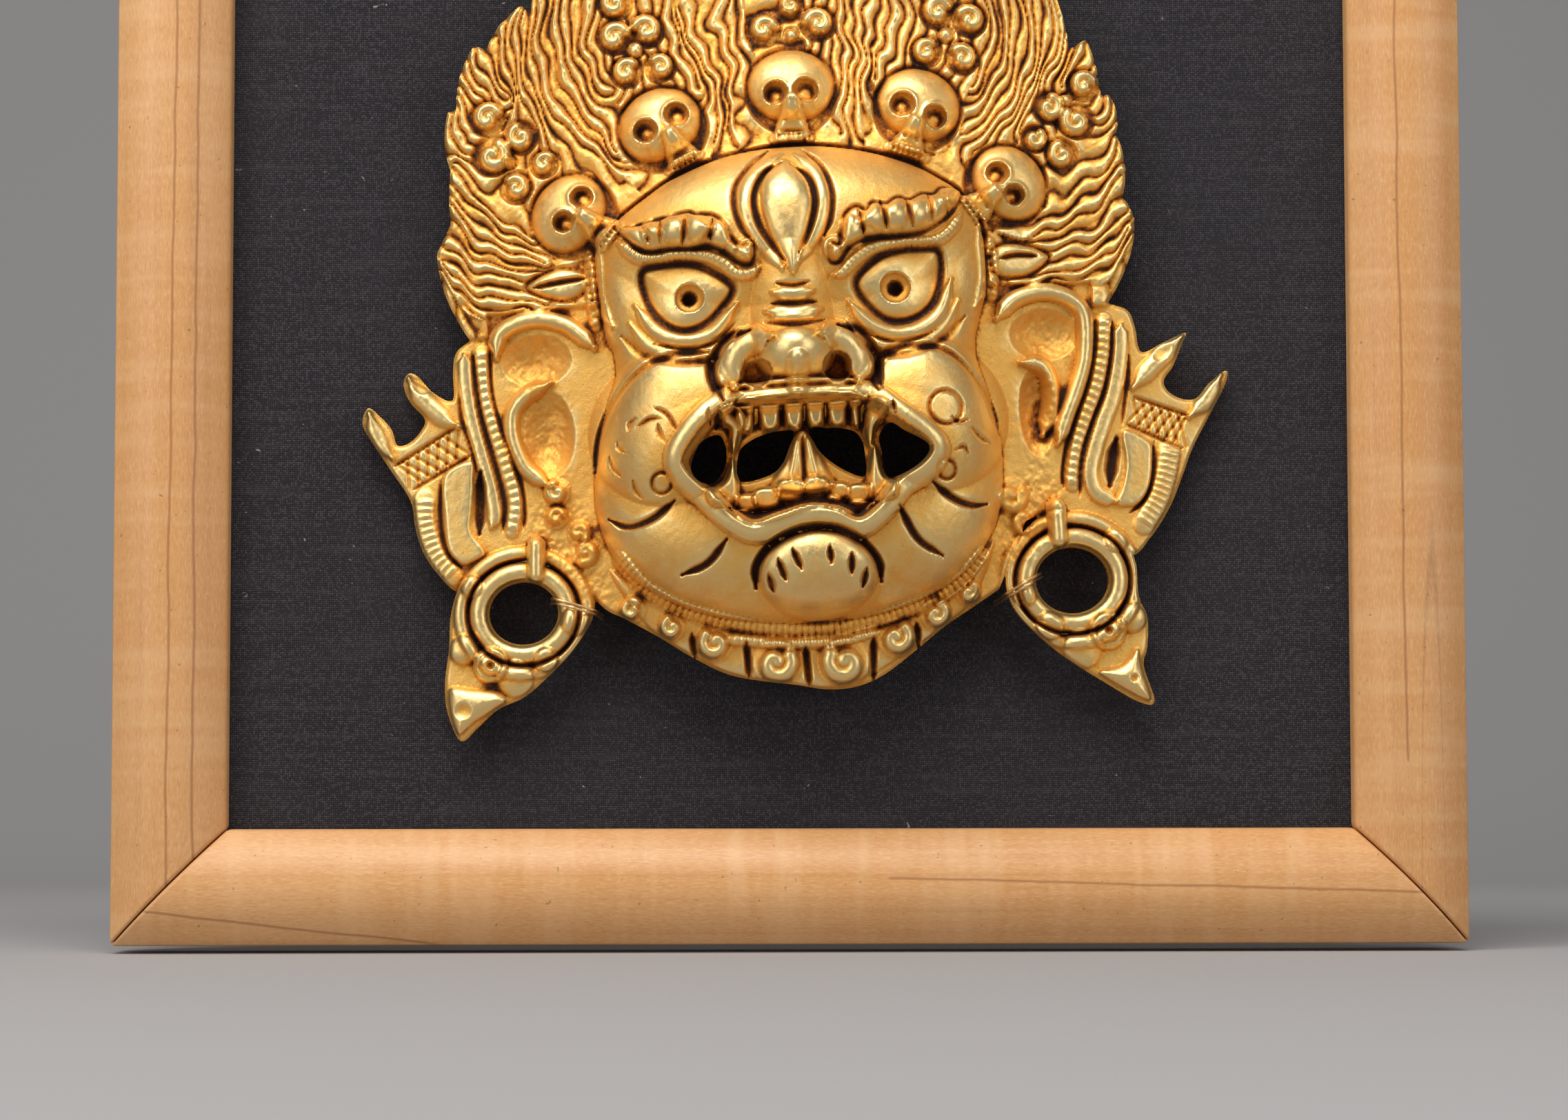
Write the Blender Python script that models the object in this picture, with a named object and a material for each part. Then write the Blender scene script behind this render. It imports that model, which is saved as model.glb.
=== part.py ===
# Framed cham mask: a hollow gilt casting of a wrathful protector's face, wired to a
# cloth-covered board in a mitred wooden frame.
# Metres, +Z up, +Y into the wall. The origin is on the back of the top rail.
import math

import bmesh
import bpy
import numpy as np

# Driving sizes
gap = 0.0003
frameWidth = 0.280
frameHeight = 0.300
frameTop = 0.012
railWidth = 0.0238
railDepth = 0.022
innerEdgeDepth = 0.0165
outerEdgeDepth = 0.0155
rebateWidth = 0.006
rebateDepth = 0.0123
boardThickness = 0.003
clothThickness = 0.0005
maskHalfWidth = 0.090
maskShift = -0.0005
maskDrop = 0.0192
maskTilt = math.radians(3.2)
maskWall = 0.0026
maskRimWall = 0.0017
wireRadius = 0.0003
wireClearance = 0.0009
tieHoleRadius = 0.0014
crownSteps = 10
maskTriangles = 8200

# Places worked out from the driving sizes
openingHalf = frameWidth / 2 - railWidth
openingTop = frameTop - railWidth
openingBottom = frameTop - frameHeight + railWidth
openingMiddle = (openingTop + openingBottom) / 2
clothFront = -(rebateDepth - gap)
clothBack = clothFront + clothThickness
boardFront = clothBack + gap
boardBack = boardFront + boardThickness
panelHalfWidth = openingHalf + rebateWidth - gap
panelTop = openingTop + rebateWidth - gap
panelBottom = openingBottom - rebateWidth + gap

# The carving is drawn in units of a ninetieth of the mask's half width, u to the right,
# v up and h out from the cloth, about a point between the eyes.
unit = maskHalfWidth / 90
carvePitch = 1.15
edgeRound = 1.0
behindClearance = 0.35
maskTop = 114
maskBottom = -89


def clear_scene():
    for thing in list(bpy.data.objects):
        bpy.data.objects.remove(thing, do_unlink=True)


def make_material(name, colour, roughness, metallic):
    material = bpy.data.materials.new(name)
    material.use_nodes = True
    shader = material.node_tree.nodes["Principled BSDF"]
    shader.inputs["Base Color"].default_value = (*colour, 1)
    shader.inputs["Roughness"].default_value = roughness
    shader.inputs["Metallic"].default_value = metallic
    return material


def add_object(name, mesh, material):
    thing = bpy.data.objects.new(name, mesh)
    bpy.context.scene.collection.objects.link(thing)
    mesh.materials.append(material)
    return thing


# Curves and distances on the carving's plane


def smooth_line(points, steps=5, closed=False):
    # Catmull-Rom curve through the points
    points = np.array(points, float)
    count = len(points)
    spans = count if closed else count - 1
    line = []
    for span in range(spans):
        if closed:
            a, b, c, d = (points[(span + k) % count] for k in (-1, 0, 1, 2))
        else:
            b, c = points[span], points[span + 1]
            a = points[span - 1] if span else 2 * b - c
            d = points[span + 2] if span + 2 < count else 2 * c - b
        for step in range(steps):
            t = step / steps
            line.append(0.5 * (2 * b + (c - a) * t + (2 * a - 5 * b + 4 * c - d) * t * t
                               + (3 * b - a - 3 * c + d) * t ** 3))
    line.append(points[0] if closed else points[-1])
    return np.array(line)


def nearest_on(line, u, v):
    # distance to a line, and how far along it the nearest point is
    best = np.full(u.shape, 1e9)
    along = np.zeros(u.shape)
    run = 0.0
    for start, end in zip(line[:-1], line[1:]):
        step = end - start
        length = math.hypot(*step)
        if length == 0:
            continue
        t = np.clip(((u - start[0]) * step[0] + (v - start[1]) * step[1]) / length ** 2, 0, 1)
        distance = (u - start[0] - t * step[0]) ** 2 + (v - start[1] - t * step[1]) ** 2
        closer = distance < best
        best = np.where(closer, distance, best)
        along = np.where(closer, run + t * length, along)
        run += length
    return np.sqrt(best), along, run


def inside_depth(line, u, v):
    # distance to a closed outline, positive inside it
    inside = np.zeros(u.shape, bool)
    for (u0, v0), (u1, v1) in zip(line[:-1], line[1:]):
        if v0 == v1:
            continue
        crosses = (v0 > v) != (v1 > v)
        inside ^= crosses & (u < u0 + (v - v0) * (u1 - u0) / (v1 - v0))
    return np.where(inside, 1, -1) * nearest_on(line, u, v)[0]


def ellipse(centre, radii, steps=40):
    turns = np.linspace(0, 2 * math.pi, steps + 1)
    return np.stack([centre[0] + radii[0] * np.cos(turns), centre[1] + radii[1] * np.sin(turns)], 1)


def blur(values, reach):
    # three box averages, close to a soft round brush
    for _ in range(3):
        for axis in (0, 1):
            padded = np.pad(values, [(reach + 1, reach) if k == axis else (0, 0) for k in (0, 1)], "edge")
            total = np.cumsum(padded, axis)
            size = values.shape[axis]
            upper = np.take(total, range(2 * reach + 1, 2 * reach + 1 + size), axis)
            lower = np.take(total, range(size), axis)
            values = (upper - lower) / (2 * reach + 1)
    return values


class Relief:
    # a sheet of heights that the carving strokes are worked into

    def __init__(self, pitch):
        self.pitch = pitch
        self.us = np.arange(-93, 93 + pitch, pitch)
        self.vs = np.arange(maskBottom - 3, maskTop + 3 + pitch, pitch)
        self.u, self.v = np.meshgrid(self.us, self.vs)
        self.height = np.zeros(self.u.shape)

    def window(self, points, reach):
        low = np.min(points, 0) - reach
        high = np.max(points, 0) + reach
        columns = slice(*np.searchsorted(self.us, (low[0], high[0])))
        rows = slice(*np.searchsorted(self.vs, (low[1], high[1])))
        return (rows, columns), self.u[rows, columns], self.v[rows, columns]

    def ridge(self, points, width, rise, ribs=0, rib_depth=0, taper=0):
        # a rounded roll along a line; a negative rise cuts a groove
        line = smooth_line(points)
        place, u, v = self.window(line, width)
        distance, along, length = nearest_on(line, u, v)
        if taper:
            width = width * np.clip(np.minimum(along, length - along) / taper, 0.25, 1)
        profile = np.clip(1 - (distance / width) ** 2, 0, 1)
        if ribs:
            profile = profile ** 0.5
            profile *= 1 - rib_depth * (0.5 + 0.5 * np.cos(2 * math.pi * along / ribs))
        else:
            profile = profile ** (1 if rise > 0 else 2)
        self.height[place] += rise * profile

    def dome(self, centre, radii, rise, turn=0, power=0.5):
        # a rounded boss; a negative rise sinks a hollow
        place, u, v = self.window([centre], max(radii))
        across = (u - centre[0]) * math.cos(turn) + (v - centre[1]) * math.sin(turn)
        upward = (v - centre[1]) * math.cos(turn) - (u - centre[0]) * math.sin(turn)
        reach = (across / radii[0]) ** 2 + (upward / radii[1]) ** 2
        self.height[place] += rise * np.clip(1 - reach, 0, 1) ** power

    def plateau(self, outline, rise, shoulder):
        # a form with rounded shoulders inside an outline
        line = smooth_line(outline, closed=True)
        place, u, v = self.window(line, 0)
        depth = np.clip(inside_depth(line, u, v) / shoulder, 0, 1)
        self.height[place] += rise * np.sqrt(1 - (1 - depth) ** 2)

    def at(self, values, u, v):
        # value between the grid's points
        column = np.clip((np.asarray(u) - self.us[0]) / self.pitch, 0, len(self.us) - 1.001)
        row = np.clip((np.asarray(v) - self.vs[0]) / self.pitch, 0, len(self.vs) - 1.001)
        c, r = column.astype(int), row.astype(int)
        fc, fr = column - c, row - r
        upper = values[r + 1, c] * (1 - fc) + values[r + 1, c + 1] * fc
        return (values[r, c] * (1 - fc) + values[r, c + 1] * fc) * (1 - fr) + upper * fr


# Outline of the casting

# each lock of hair: where its outer edge starts, how it swells, and its tip
leftLocks = [((-65.5, -4), (-70.6, 6), (-72.2, 15.5)),
             ((-69, 21.5), (-69, 27), (-68.6, 31.5)),
             ((-68.4, 32.5), (-69.4, 38.5), (-68.4, 44.8)),
             ((-66.6, 45.2), (-65.6, 52), (-62.4, 58.2)),
             ((-59.6, 57.6), (-57, 62), (-52.2, 66.2)),
             ((-50.2, 64.2), (-48.8, 70), (-45.2, 77)),
             ((-43.2, 74.6), (-40.6, 81.5), (-36, 87.6)),
             ((-34, 85), (-30.4, 91.5), (-25.4, 96.8)),
             ((-23.4, 94.2), (-18.6, 100.4), (-12.6, 104.6)),
             ((-10.8, 102), (-6.6, 107.6), (-0.5, 112.5))]
rightLocks = [((66, -2), (71, 7), (72.6, 15.5)),
              ((70.5, 20), (71.3, 26), (70.4, 31.6)),
              ((69.8, 32.6), (70.3, 37), (69.2, 41.2)),
              ((67.2, 41.4), (66.4, 48), (64.8, 53.2)),
              ((61, 51.2), (60.4, 57), (58.2, 65)),
              ((56, 63), (54.2, 70), (50, 76.6)),
              ((48, 74), (45, 81), (40, 87)),
              ((38, 84.4), (34, 91), (28.6, 96)),
              ((26.6, 93.4), (21.4, 99.6), (15, 104)),
              ((13, 101.4), (7.4, 107.4), (0.5, 112.5))]


def lock_edge(locks):
    # a swelling edge up to each tip, then a straight drop into the next notch
    edge = []
    for start, swell, tip in locks:
        for step in range(6):
            t = step / 5
            edge.append([(1 - t) ** 2 * a + 2 * t * (1 - t) * (2 * b - (a + c) / 2) + t * t * c
                         for a, b, c in zip(start, swell, tip)])
    return edge


beardEdge = [(39.6, -60.2), (34, -63.6), (28, -67.2), (22, -71.6), (15, -76.4), (9, -78.6), (3, -78.8),
             (-3, -77.6), (-10, -76.4), (-17, -74.6), (-24, -70.8), (-31, -66), (-37.5, -62), (-41.6, -59.6),
             (-46, -54), (-55, -40)]
leftSide = [(-63, 0), (-66, -2.5), (-69.3, -5), (-70.2, -9), (-70.6, -14.8), (-74.5, -13), (-77.5, -9.4),
            (-79.6, -8.7), (-80.6, -11), (-79.4, -14.6), (-76.6, -18.2), (-77.4, -20.6), (-80, -23),
            (-82.6, -23.3), (-83.6, -20), (-86, -17), (-88.3, -15.2), (-89.6, -18.4), (-87.6, -22.6),
            (-84.2, -28.4), (-80.4, -35), (-79.6, -41), (-78.2, -46), (-75.4, -50.6), (-71.4, -54.4),
            (-66, -52), (-58, -46), (-50, -46), (-43, -50), (-40, -40), (-40, 0)]
rightSide = [(62, 1), (66, -2), (70, -3.6), (71.4, -7), (72.4, -12.4), (77, -10.8), (82, -8.8), (81.2, -11),
             (79, -15.6), (76.9, -18.4), (77.4, -20.6), (80, -22.4), (83.4, -22.6), (86.6, -19.4),
             (90.2, -17), (90, -19.6), (86.2, -26), (82, -33), (79.6, -38.4), (76.4, -45), (72, -51),
             (67.4, -54.6), (60, -50), (52, -45), (45, -47), (41, -50), (40, -40), (40, 0)]
leftRing = (-58.2, -59.7)
rightRing = (54.9, -59.2)
leftRingHole = (7.1, 6.4)
rightRingHole = (7.6, 6.8)
leftPendant = [(-73, -58), (-74, -66), (-75.2, -73), (-75, -79), (-72.6, -85), (-69, -82.6), (-64.5, -79),
               (-59, -76.8), (-54, -73), (-49, -68.4), (-45.6, -64), (-43.8, -60.4), (-43.4, -54),
               (-47, -47), (-54, -44.5), (-62, -46), (-69.6, -51)]
rightPendant = [(68.2, -56), (68.4, -62.6), (70.2, -67.6), (69.8, -73.6), (68.8, -77.6), (70.6, -85),
                (67.2, -84.8), (60.6, -80.6), (52.6, -75), (46.4, -69.4), (42.2, -64), (41, -58),
                (43.4, -51), (50, -45.2), (58, -44.8), (65, -49)]
mouthHoles = [[(-21.5, -30.2), (-19.6, -27.6), (-16.4, -26.6), (-15.2, -28.6), (-15, -31), (-15.7, -33.6),
               (-18, -36.2), (-21, -36), (-22.4, -33.4)],
              [(-12.6, -30.6), (-10.4, -28.2), (-6, -26.6), (-1.2, -26.6), (-2.4, -30.2), (-4, -33.4),
               (-7, -35.4), (-12.6, -36)],
              [(2, -26.4), (6, -26.2), (10.6, -26.9), (12.4, -28.6), (13, -31), (12.9, -36.2), (9.4, -35.4),
               (5.6, -32.8), (3.2, -30)],
              [(18, -26.2), (21, -28), (25.6, -31.2), (24.6, -34), (21, -36.4), (18, -36.8), (16.8, -34.6),
               (16.4, -31.6), (16, -28.6)]]


def casting_depth(u, v):
    # how far inside the casting's outline a place lies, holes taken out
    head = lock_edge(leftLocks) + lock_edge(rightLocks)[::-1] + beardEdge
    head = np.array(head + head[:1])
    depth = inside_depth(head, u, v)
    for outline in (leftSide, rightSide, leftPendant, rightPendant):
        depth = np.maximum(depth, inside_depth(smooth_line(outline, 4, closed=True), u, v))
    for centre, radii in ((leftRing, leftRingHole), (rightRing, rightRingHole)):
        depth = np.minimum(depth, -inside_depth(ellipse(centre, radii), u, v))
    for hole in mouthHoles:
        depth = np.minimum(depth, -inside_depth(smooth_line(hole, 4, closed=True), u, v))
    return depth


# Carving, from the whole form down to its smaller parts

upperFace = [(-39.5, 14), (-35.5, 18.5), (-28.5, 23.5), (-22, 27.3), (-11, 31), (2, 32.3), (14, 31.2),
             (25, 28.2), (32, 24.5), (36.5, 21), (40, 14), (40.3, 2), (37, -3), (33, -7.5), (27, -10),
             (12, -12), (-12, -12), (-28, -9.5), (-35, -6), (-39.5, -2.5)]
lowerFace = [(-15, -12), (-24, -10.8), (-31, -12.6), (-37, -18), (-40.6, -25), (-42, -33), (-41.8, -42),
             (-38.5, -50.5), (-31, -57.5), (-20, -62.5), (-8, -64.7), (3, -65.2), (14, -64.2), (24, -61.3),
             (33, -56), (39, -48), (41.3, -40), (41.6, -31), (39.3, -21.5), (34, -13.8), (28, -10.8),
             (21, -10.6), (15, -13)]
leftEye = [(-29.8, 7.2), (-22, 7), (-17, 5), (-12.2, 2), (-15, -1.4), (-19, -3.9), (-23, -4.1), (-27, -1.5),
           (-29.6, 3)]
rightEye = [(30, 8.6), (24, 8), (18, 6.5), (13.2, 1.6), (16, -3), (20, -5), (25, -4), (28.5, -1), (30.2, 4)]
leftPouch = [(-32, 6), (-31.4, 0), (-27, -4.9), (-21, -6.4), (-15, -4.6), (-11.6, 0)]
rightPouch = [(32, 6), (31.4, 0), (28, -5), (22, -7.4), (16, -5.4), (12, 0)]
leftBrow = [(-34, 16), (-29, 14), (-22, 14.2), (-15.5, 13.4), (-11.5, 10), (-8.4, 8.4)]
rightBrow = [(35, 19.6), (29, 17), (22, 15.2), (15.5, 14.2), (11.5, 11), (8.6, 9)]
mouthRim = [(0, -19.4), (-9, -19.4), (-15, -20.4), (-20, -24), (-25, -30.5), (-24.3, -35), (-20, -39.2),
            (-15.6, -43.5), (-10.6, -46.6), (-5, -45), (1, -43.6), (6, -44.2), (11, -46.4), (16, -43),
            (20, -38.8), (25, -36), (27.2, -32.4), (24.6, -28.8), (19.4, -24.4), (14.6, -20.6),
            (8, -19.4), (0, -19.4)]
thirdEyeRim = [(0, 30), (-6.4, 26), (-9, 20), (-7.4, 13.4), (-2.4, 6.4), (0.4, 4.6), (3, 7.4), (6.8, 14),
               (7.4, 20), (5.4, 26), (0, 30)]
# each skull: centre, radius, and how far its jaw swings from straight down
skulls = [((2.6, 45.6), 9.0, 0), ((-24.4, 39), 9.0, 26), ((-44.4, 22.4), 8.2, 50),
          ((28.4, 40.4), 8.8, -20), ((46.2, 24), 8.2, -50)]
# curls over each skull: centre and radius
curls = [(-2, 59.4, 3.6), (9, 59.6, 3.6), (3.8, 64.4, 3.4), (-33, 58, 3.6), (-26.4, 59.2, 3.8),
         (-31, 50.6, 3.5), (-24, 51, 3.3), (-32.6, 65, 3.6), (-60.4, 43, 3.6), (-59.4, 35, 4.4),
         (-53.4, 38.6, 3.5), (-49, 32.6, 3), (-55.2, 28, 3.2), (34.2, 60.6, 3.6), (40.6, 58, 3.6),
         (31, 51.6, 3.2), (38.4, 50, 3.5), (63.6, 43.6, 3.4), (56, 39, 3.4), (61.6, 36.2, 3.7),
         (52.4, 32.6, 2.9), (58, 29, 3.4), (-36, -60.4, 2.8), (-28, -64.4, 2.8), (-19, -67.6, 3.6),
         (-7, -71.8, 5.2), (6.8, -73, 5.8), (17.4, -68.4, 3.8), (26, -64.6, 3.2), (-50.5, -40.6, 2.6),
         (-45.4, -46.4, 3.4), (43.4, -42, 3.6), (-46, 7, 4.2), (47, 6.6, 4.2)]
# roots and tips that the locks of hair run between
lockRuns = [((-13, 34), (-14, 62), (-22, 84), (-8, 104)), ((-8, 54), (-8, 74), (-12, 88), (-2, 108)),
            ((14, 34), (17, 62), (22, 82), (12, 103)), ((10, 56), (10, 74), (14, 88), (2, 108)),
            ((-20, 50), (-18, 66), (-30, 82), (-24, 95)), ((-38, 30), (-43, 50), (-42, 66), (-36, 86)),
            ((-46, 34), (-49, 50), (-50, 62), (-46, 75)), ((-36, 66), (-37, 74), (-33, 84), (-27, 94)),
            ((-54, 46), (-56, 52), (-56, 58), (-53, 65)), ((-48, 10), (-58, 16), (-65, 24), (-67, 42)),
            ((-50, 4), (-60, 8), (-66, 12), (-71, 15)), ((-57, 24), (-64, 30), (-67, 36), (-67, 44)),
            ((40, 30), (46, 46), (50, 60), (46, 78)), ((23, 52), (22, 66), (30, 82), (26, 94)),
            ((48, 40), (54, 50), (57, 58), (56, 64)), ((44, 62), (45, 70), (42, 78), (38, 86)),
            ((60, 46), (62, 48), (63, 50), (64, 52)), ((50, 10), (60, 16), (67, 22), (69, 30)),
            ((52, 3), (61, 6), (67, 10), (71, 15)), ((58, 24), (64, 28), (68, 34), (68, 40))]


def carve_ground(relief):
    # the plate that carries hair, ears and beard, bowed round the head
    u, v = relief.u, relief.v
    relief.height += 3 + 8 * np.clip(1 - (u / 90) ** 2, 0, 1) - 3.5 * np.clip(v / 110, 0, 1) ** 2
    relief.dome((0, -2), (64, 76), 8, power=2)


def carve_hair(relief):
    for run in lockRuns:
        relief.ridge(run, 3.2, 2.4, taper=6)


def carve_skulls(relief):
    for (u, v), radius, swing in skulls:
        turn = math.radians(swing)
        down = (math.sin(turn), -math.cos(turn))
        side = (math.cos(turn), math.sin(turn))

        def spot(across, along):
            return (u + across * side[0] + along * down[0], v + across * side[1] + along * down[1])

        relief.dome(spot(0, -0.05 * radius), (radius, radius), 5.2, turn)
        relief.ridge([spot(0, 0.2 * radius), spot(0, 1.15 * radius)], 0.36 * radius, 3.4)
        for across in (-0.36, 0.34):
            relief.dome(spot(across * radius, 0.12 * radius), (0.32 * radius, 0.32 * radius), -3.4, power=1)


def carve_face(relief):
    relief.plateau(upperFace, 10, 13)
    relief.plateau(lowerFace, 11, 12)
    relief.dome((0, 14), (34, 20), 3, power=2)
    relief.ridge(leftBrow, 3.6, 4.6, taper=5)
    relief.ridge(rightBrow, 3.6, 4.6, taper=5)
    for outline, pouch in ((leftEye, leftPouch), (rightEye, rightPouch)):
        relief.ridge(pouch, 2.4, 1.8)
        relief.plateau(outline, -3, 1.5)
        middle = np.mean(outline, 0)
        relief.dome(middle, (9.5, 6.8), 4.4)
    relief.dome((-20.8, 0.8), (2.9, 2.9), -4, power=1)
    relief.dome((21, 1), (3.3, 3.2), -4, power=1)
    relief.ridge(thirdEyeRim, 1.9, 1.6)
    relief.dome((0, 18.4), (5.2, 9.6), 3.4)


def carve_nose(relief):
    relief.dome((-0.5, -8), (9, 16), 7, power=1)
    relief.dome((-0.5, -12), (7.4, 7), 6.5)
    relief.ridge([(-14.2, -18.6), (-13.6, -12.4), (-8, -9.4)], 3.4, 5)
    relief.ridge([(13.4, -18.4), (12.6, -12.2), (7.4, -9.2)], 3.4, 5)
    relief.dome((8, -15), (3, 3.4), -6, power=1)
    relief.dome((-8, -15.8), (3, 2.6), -3, power=1)
    for v, half in ((0, 4.2), (-3.7, 5.6)):
        relief.ridge([(-half, v), (half, v)], 1.5, 1.6)


def carve_mouth(relief):
    relief.plateau(mouthRim[:-1], -5, 3)
    relief.ridge(mouthRim, 2.5, 6)
    relief.ridge([(-13, -23.8), (13, -23.8)], 2.2, 3, ribs=4.5, rib_depth=0.5)
    for tip in ((-13.8, 1), (14.4, 1)):
        relief.ridge([(tip[0] * 1.02, -22.5), (tip[0], -30.5)], 1.9, 4, taper=2)
        relief.ridge([(tip[0] * 1.2, -39.5), (tip[0] * 1.02, -31.5)], 2.2, 4, taper=3)
    relief.ridge([(0.4, -28), (0.4, -35)], 3, 3, taper=3)
    for u, v in ((-12, -40.2), (-7.4, -39.6), (-2.6, -38.4), (2.5, -38), (7, -39), (11.6, -39.6)):
        relief.dome((u, v), (2.1, 2), 2.6)


def carve_cheeks_and_chin(relief):
    relief.dome((-30, -27), (13, 15), 4, power=1)
    relief.dome((29.5, -26), (12.5, 15), 4, power=1)
    relief.dome((2.2, -55), (11.4, 8.4), 3.6)
    for groove in ([(-39.6, -42), (-35.5, -44), (-30.5, -42.8), (-26, -39.6)],
                   [(26, -38.6), (30, -42), (34, -43.5), (37.4, -43.2)],
                   [(-25.4, -54.4), (-20, -52.4), (-16, -48)],
                   [(19, -43.2), (22.4, -49.8), (27.6, -53.4)]):
        relief.ridge(groove, 1.6, -2)
    relief.ridge([(-37, -54), (-30, -59.8), (-20, -63.8), (-8, -66.3), (3, -66.8), (12, -65.6), (22, -63),
                  (30, -59.6), (37, -54)], 1.7, 1.8, ribs=3.4, rib_depth=0.5)


def carve_ears(relief):
    relief.ridge([(-42.6, -5), (-46.5, -1), (-52, 0.8), (-58, 0.2), (-61.2, -4), (-61, -10), (-59, -15)],
                 2.2, 3.4)
    relief.ridge([(42, -5), (46, -1.2), (52, 0.4), (58, -1), (61, -5), (61, -10), (59, -20), (55.4, -33)],
                 2.2, 3.4)
    relief.ridge([(-49.5, -12.6), (-54, -13.4), (-58, -17), (-58, -22), (-55, -29.4), (-49.6, -35)], 2.4, 3)
    relief.ridge([(47, -13.8), (51, -14.2), (53.6, -18), (54.4, -25), (54, -33)], 1.8, 2.4)
    relief.dome((-52.6, -7.4), (7, 6), -3.4, power=1)
    relief.dome((51.6, -7.6), (7, 6.6), -3.4, power=1)
    relief.dome((-50.6, -21), (5, 8.6), -3, power=1)
    relief.dome((49.6, -23), (4.2, 9), -3, power=1)


def carve_side_pieces(relief):
    relief.ridge([(-65, -3.5), (-64.5, -12), (-62.5, -24), (-59.5, -36), (-58.5, -43)], 1.6, 2,
                 ribs=3.8, rib_depth=0.4)
    relief.ridge([(66, -4), (64.5, -14), (61, -26), (57, -38)], 1.7, 2, ribs=3.4, rib_depth=0.4)
    relief.ridge([(-68.2, -6.5), (-68, -14), (-65.8, -26), (-63.2, -37), (-63, -42)], 1.8, 2.2)
    relief.ridge([(68.6, -5), (69, -10), (67.2, -22), (64, -33), (62, -39), (64.6, -42.8), (69.4, -40),
                  (70.4, -31)], 2, 2.2)
    relief.ridge([(-66.6, -30), (-66.6, -42)], 1.4, -1.6)
    relief.ridge([(65.6, -29), (65.6, -39)], 1.7, -1.8)
    relief.dome((-71.5, -37.5), (3.4, 9), 1.6, power=0.5)
    relief.ridge([(-80.4, -30), (-78.4, -41), (-74.6, -49)], 2.6, 1.6, ribs=4, rib_depth=0.4)
    relief.ridge([(80.4, -31), (77.6, -41.5), (71.8, -49)], 2.8, 1.6, ribs=4, rib_depth=0.4)
    relief.ridge([(-87.6, -17.6), (-85.6, -23), (-81, -27.6)], 2, 1.6)
    relief.ridge([(-78.6, -10.6), (-75, -15.6), (-70, -19)], 2.2, 1.6)
    relief.ridge([(88.6, -18.6), (84.6, -23.6), (80, -28)], 2, 1.6)
    relief.ridge([(80, -10.4), (74.6, -14.6), (71, -18)], 2.2, 1.6)


def carve_ear_rings(relief):
    for (u, v), radii, pendant in ((leftRing, leftRingHole, -1), (rightRing, rightRingHole, 1)):
        relief.ridge(ellipse((u, v), (radii[0] + 2.2, radii[1] + 2.2)), 2.1, 2.6)
        relief.ridge(ellipse((u, v), (radii[0] + 5.9, radii[1] + 5.9)), 1.7, 1.6)
    for (u, v) in ((-54.6, -44), (52.3, -42)):
        relief.ridge([(u, v), (u, v - 8.4)], 2.4, 3.6)
    for u, v, radius in ((-65.5, -70, 3.7), (-71, -66.6, 3.2), (-60.4, -73, 4), (61.5, -70, 4),
                         (67, -67.6, 3), (55.6, -73, 4.4)):
        relief.dome((u, v), (radius, radius), 2.6)
    relief.dome((-70.8, -79), (6, 3.6), 2, turn=math.radians(30))
    relief.dome((66, -79), (6, 3.2), 2, turn=math.radians(-60))


def carve_curls(relief):
    for u, v, radius in curls:
        relief.dome((u, v), (radius, radius), 2.2)


def carve_mask(pitch):
    relief = Relief(pitch)
    for carve in (carve_ground, carve_hair, carve_face, carve_skulls, carve_nose, carve_mouth,
                  carve_cheeks_and_chin, carve_ears, carve_side_pieces, carve_ear_rings, carve_curls):
        carve(relief)
    wall = maskWall / unit
    rimWall = maskRimWall / unit
    relief.inner = np.minimum(blur(relief.height, max(1, round(2.4 / pitch))) - wall, relief.height - rimWall)
    relief.inner = np.maximum(relief.inner, behindClearance)
    relief.depth = casting_depth(relief.u, relief.v)
    relief.height -= edgeRound * (1 - np.clip(relief.depth / edgeRound, 0, 1)) ** 2
    relief.height = np.maximum(relief.height, relief.inner + 0.8)
    return relief


def solid_cells(relief):
    # grid cells that lie in the casting, with no two that meet only at a corner
    depth = relief.depth
    cells = depth[:-1, :-1] + depth[1:, :-1] + depth[:-1, 1:] + depth[1:, 1:] > 0
    while True:
        a, b, c, d = cells[:-1, :-1], cells[:-1, 1:], cells[1:, :-1], cells[1:, 1:]
        rising = a & d & ~b & ~c
        falling = b & c & ~a & ~d
        if not rising.any() and not falling.any():
            return cells
        b |= rising
        a |= falling


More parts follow.
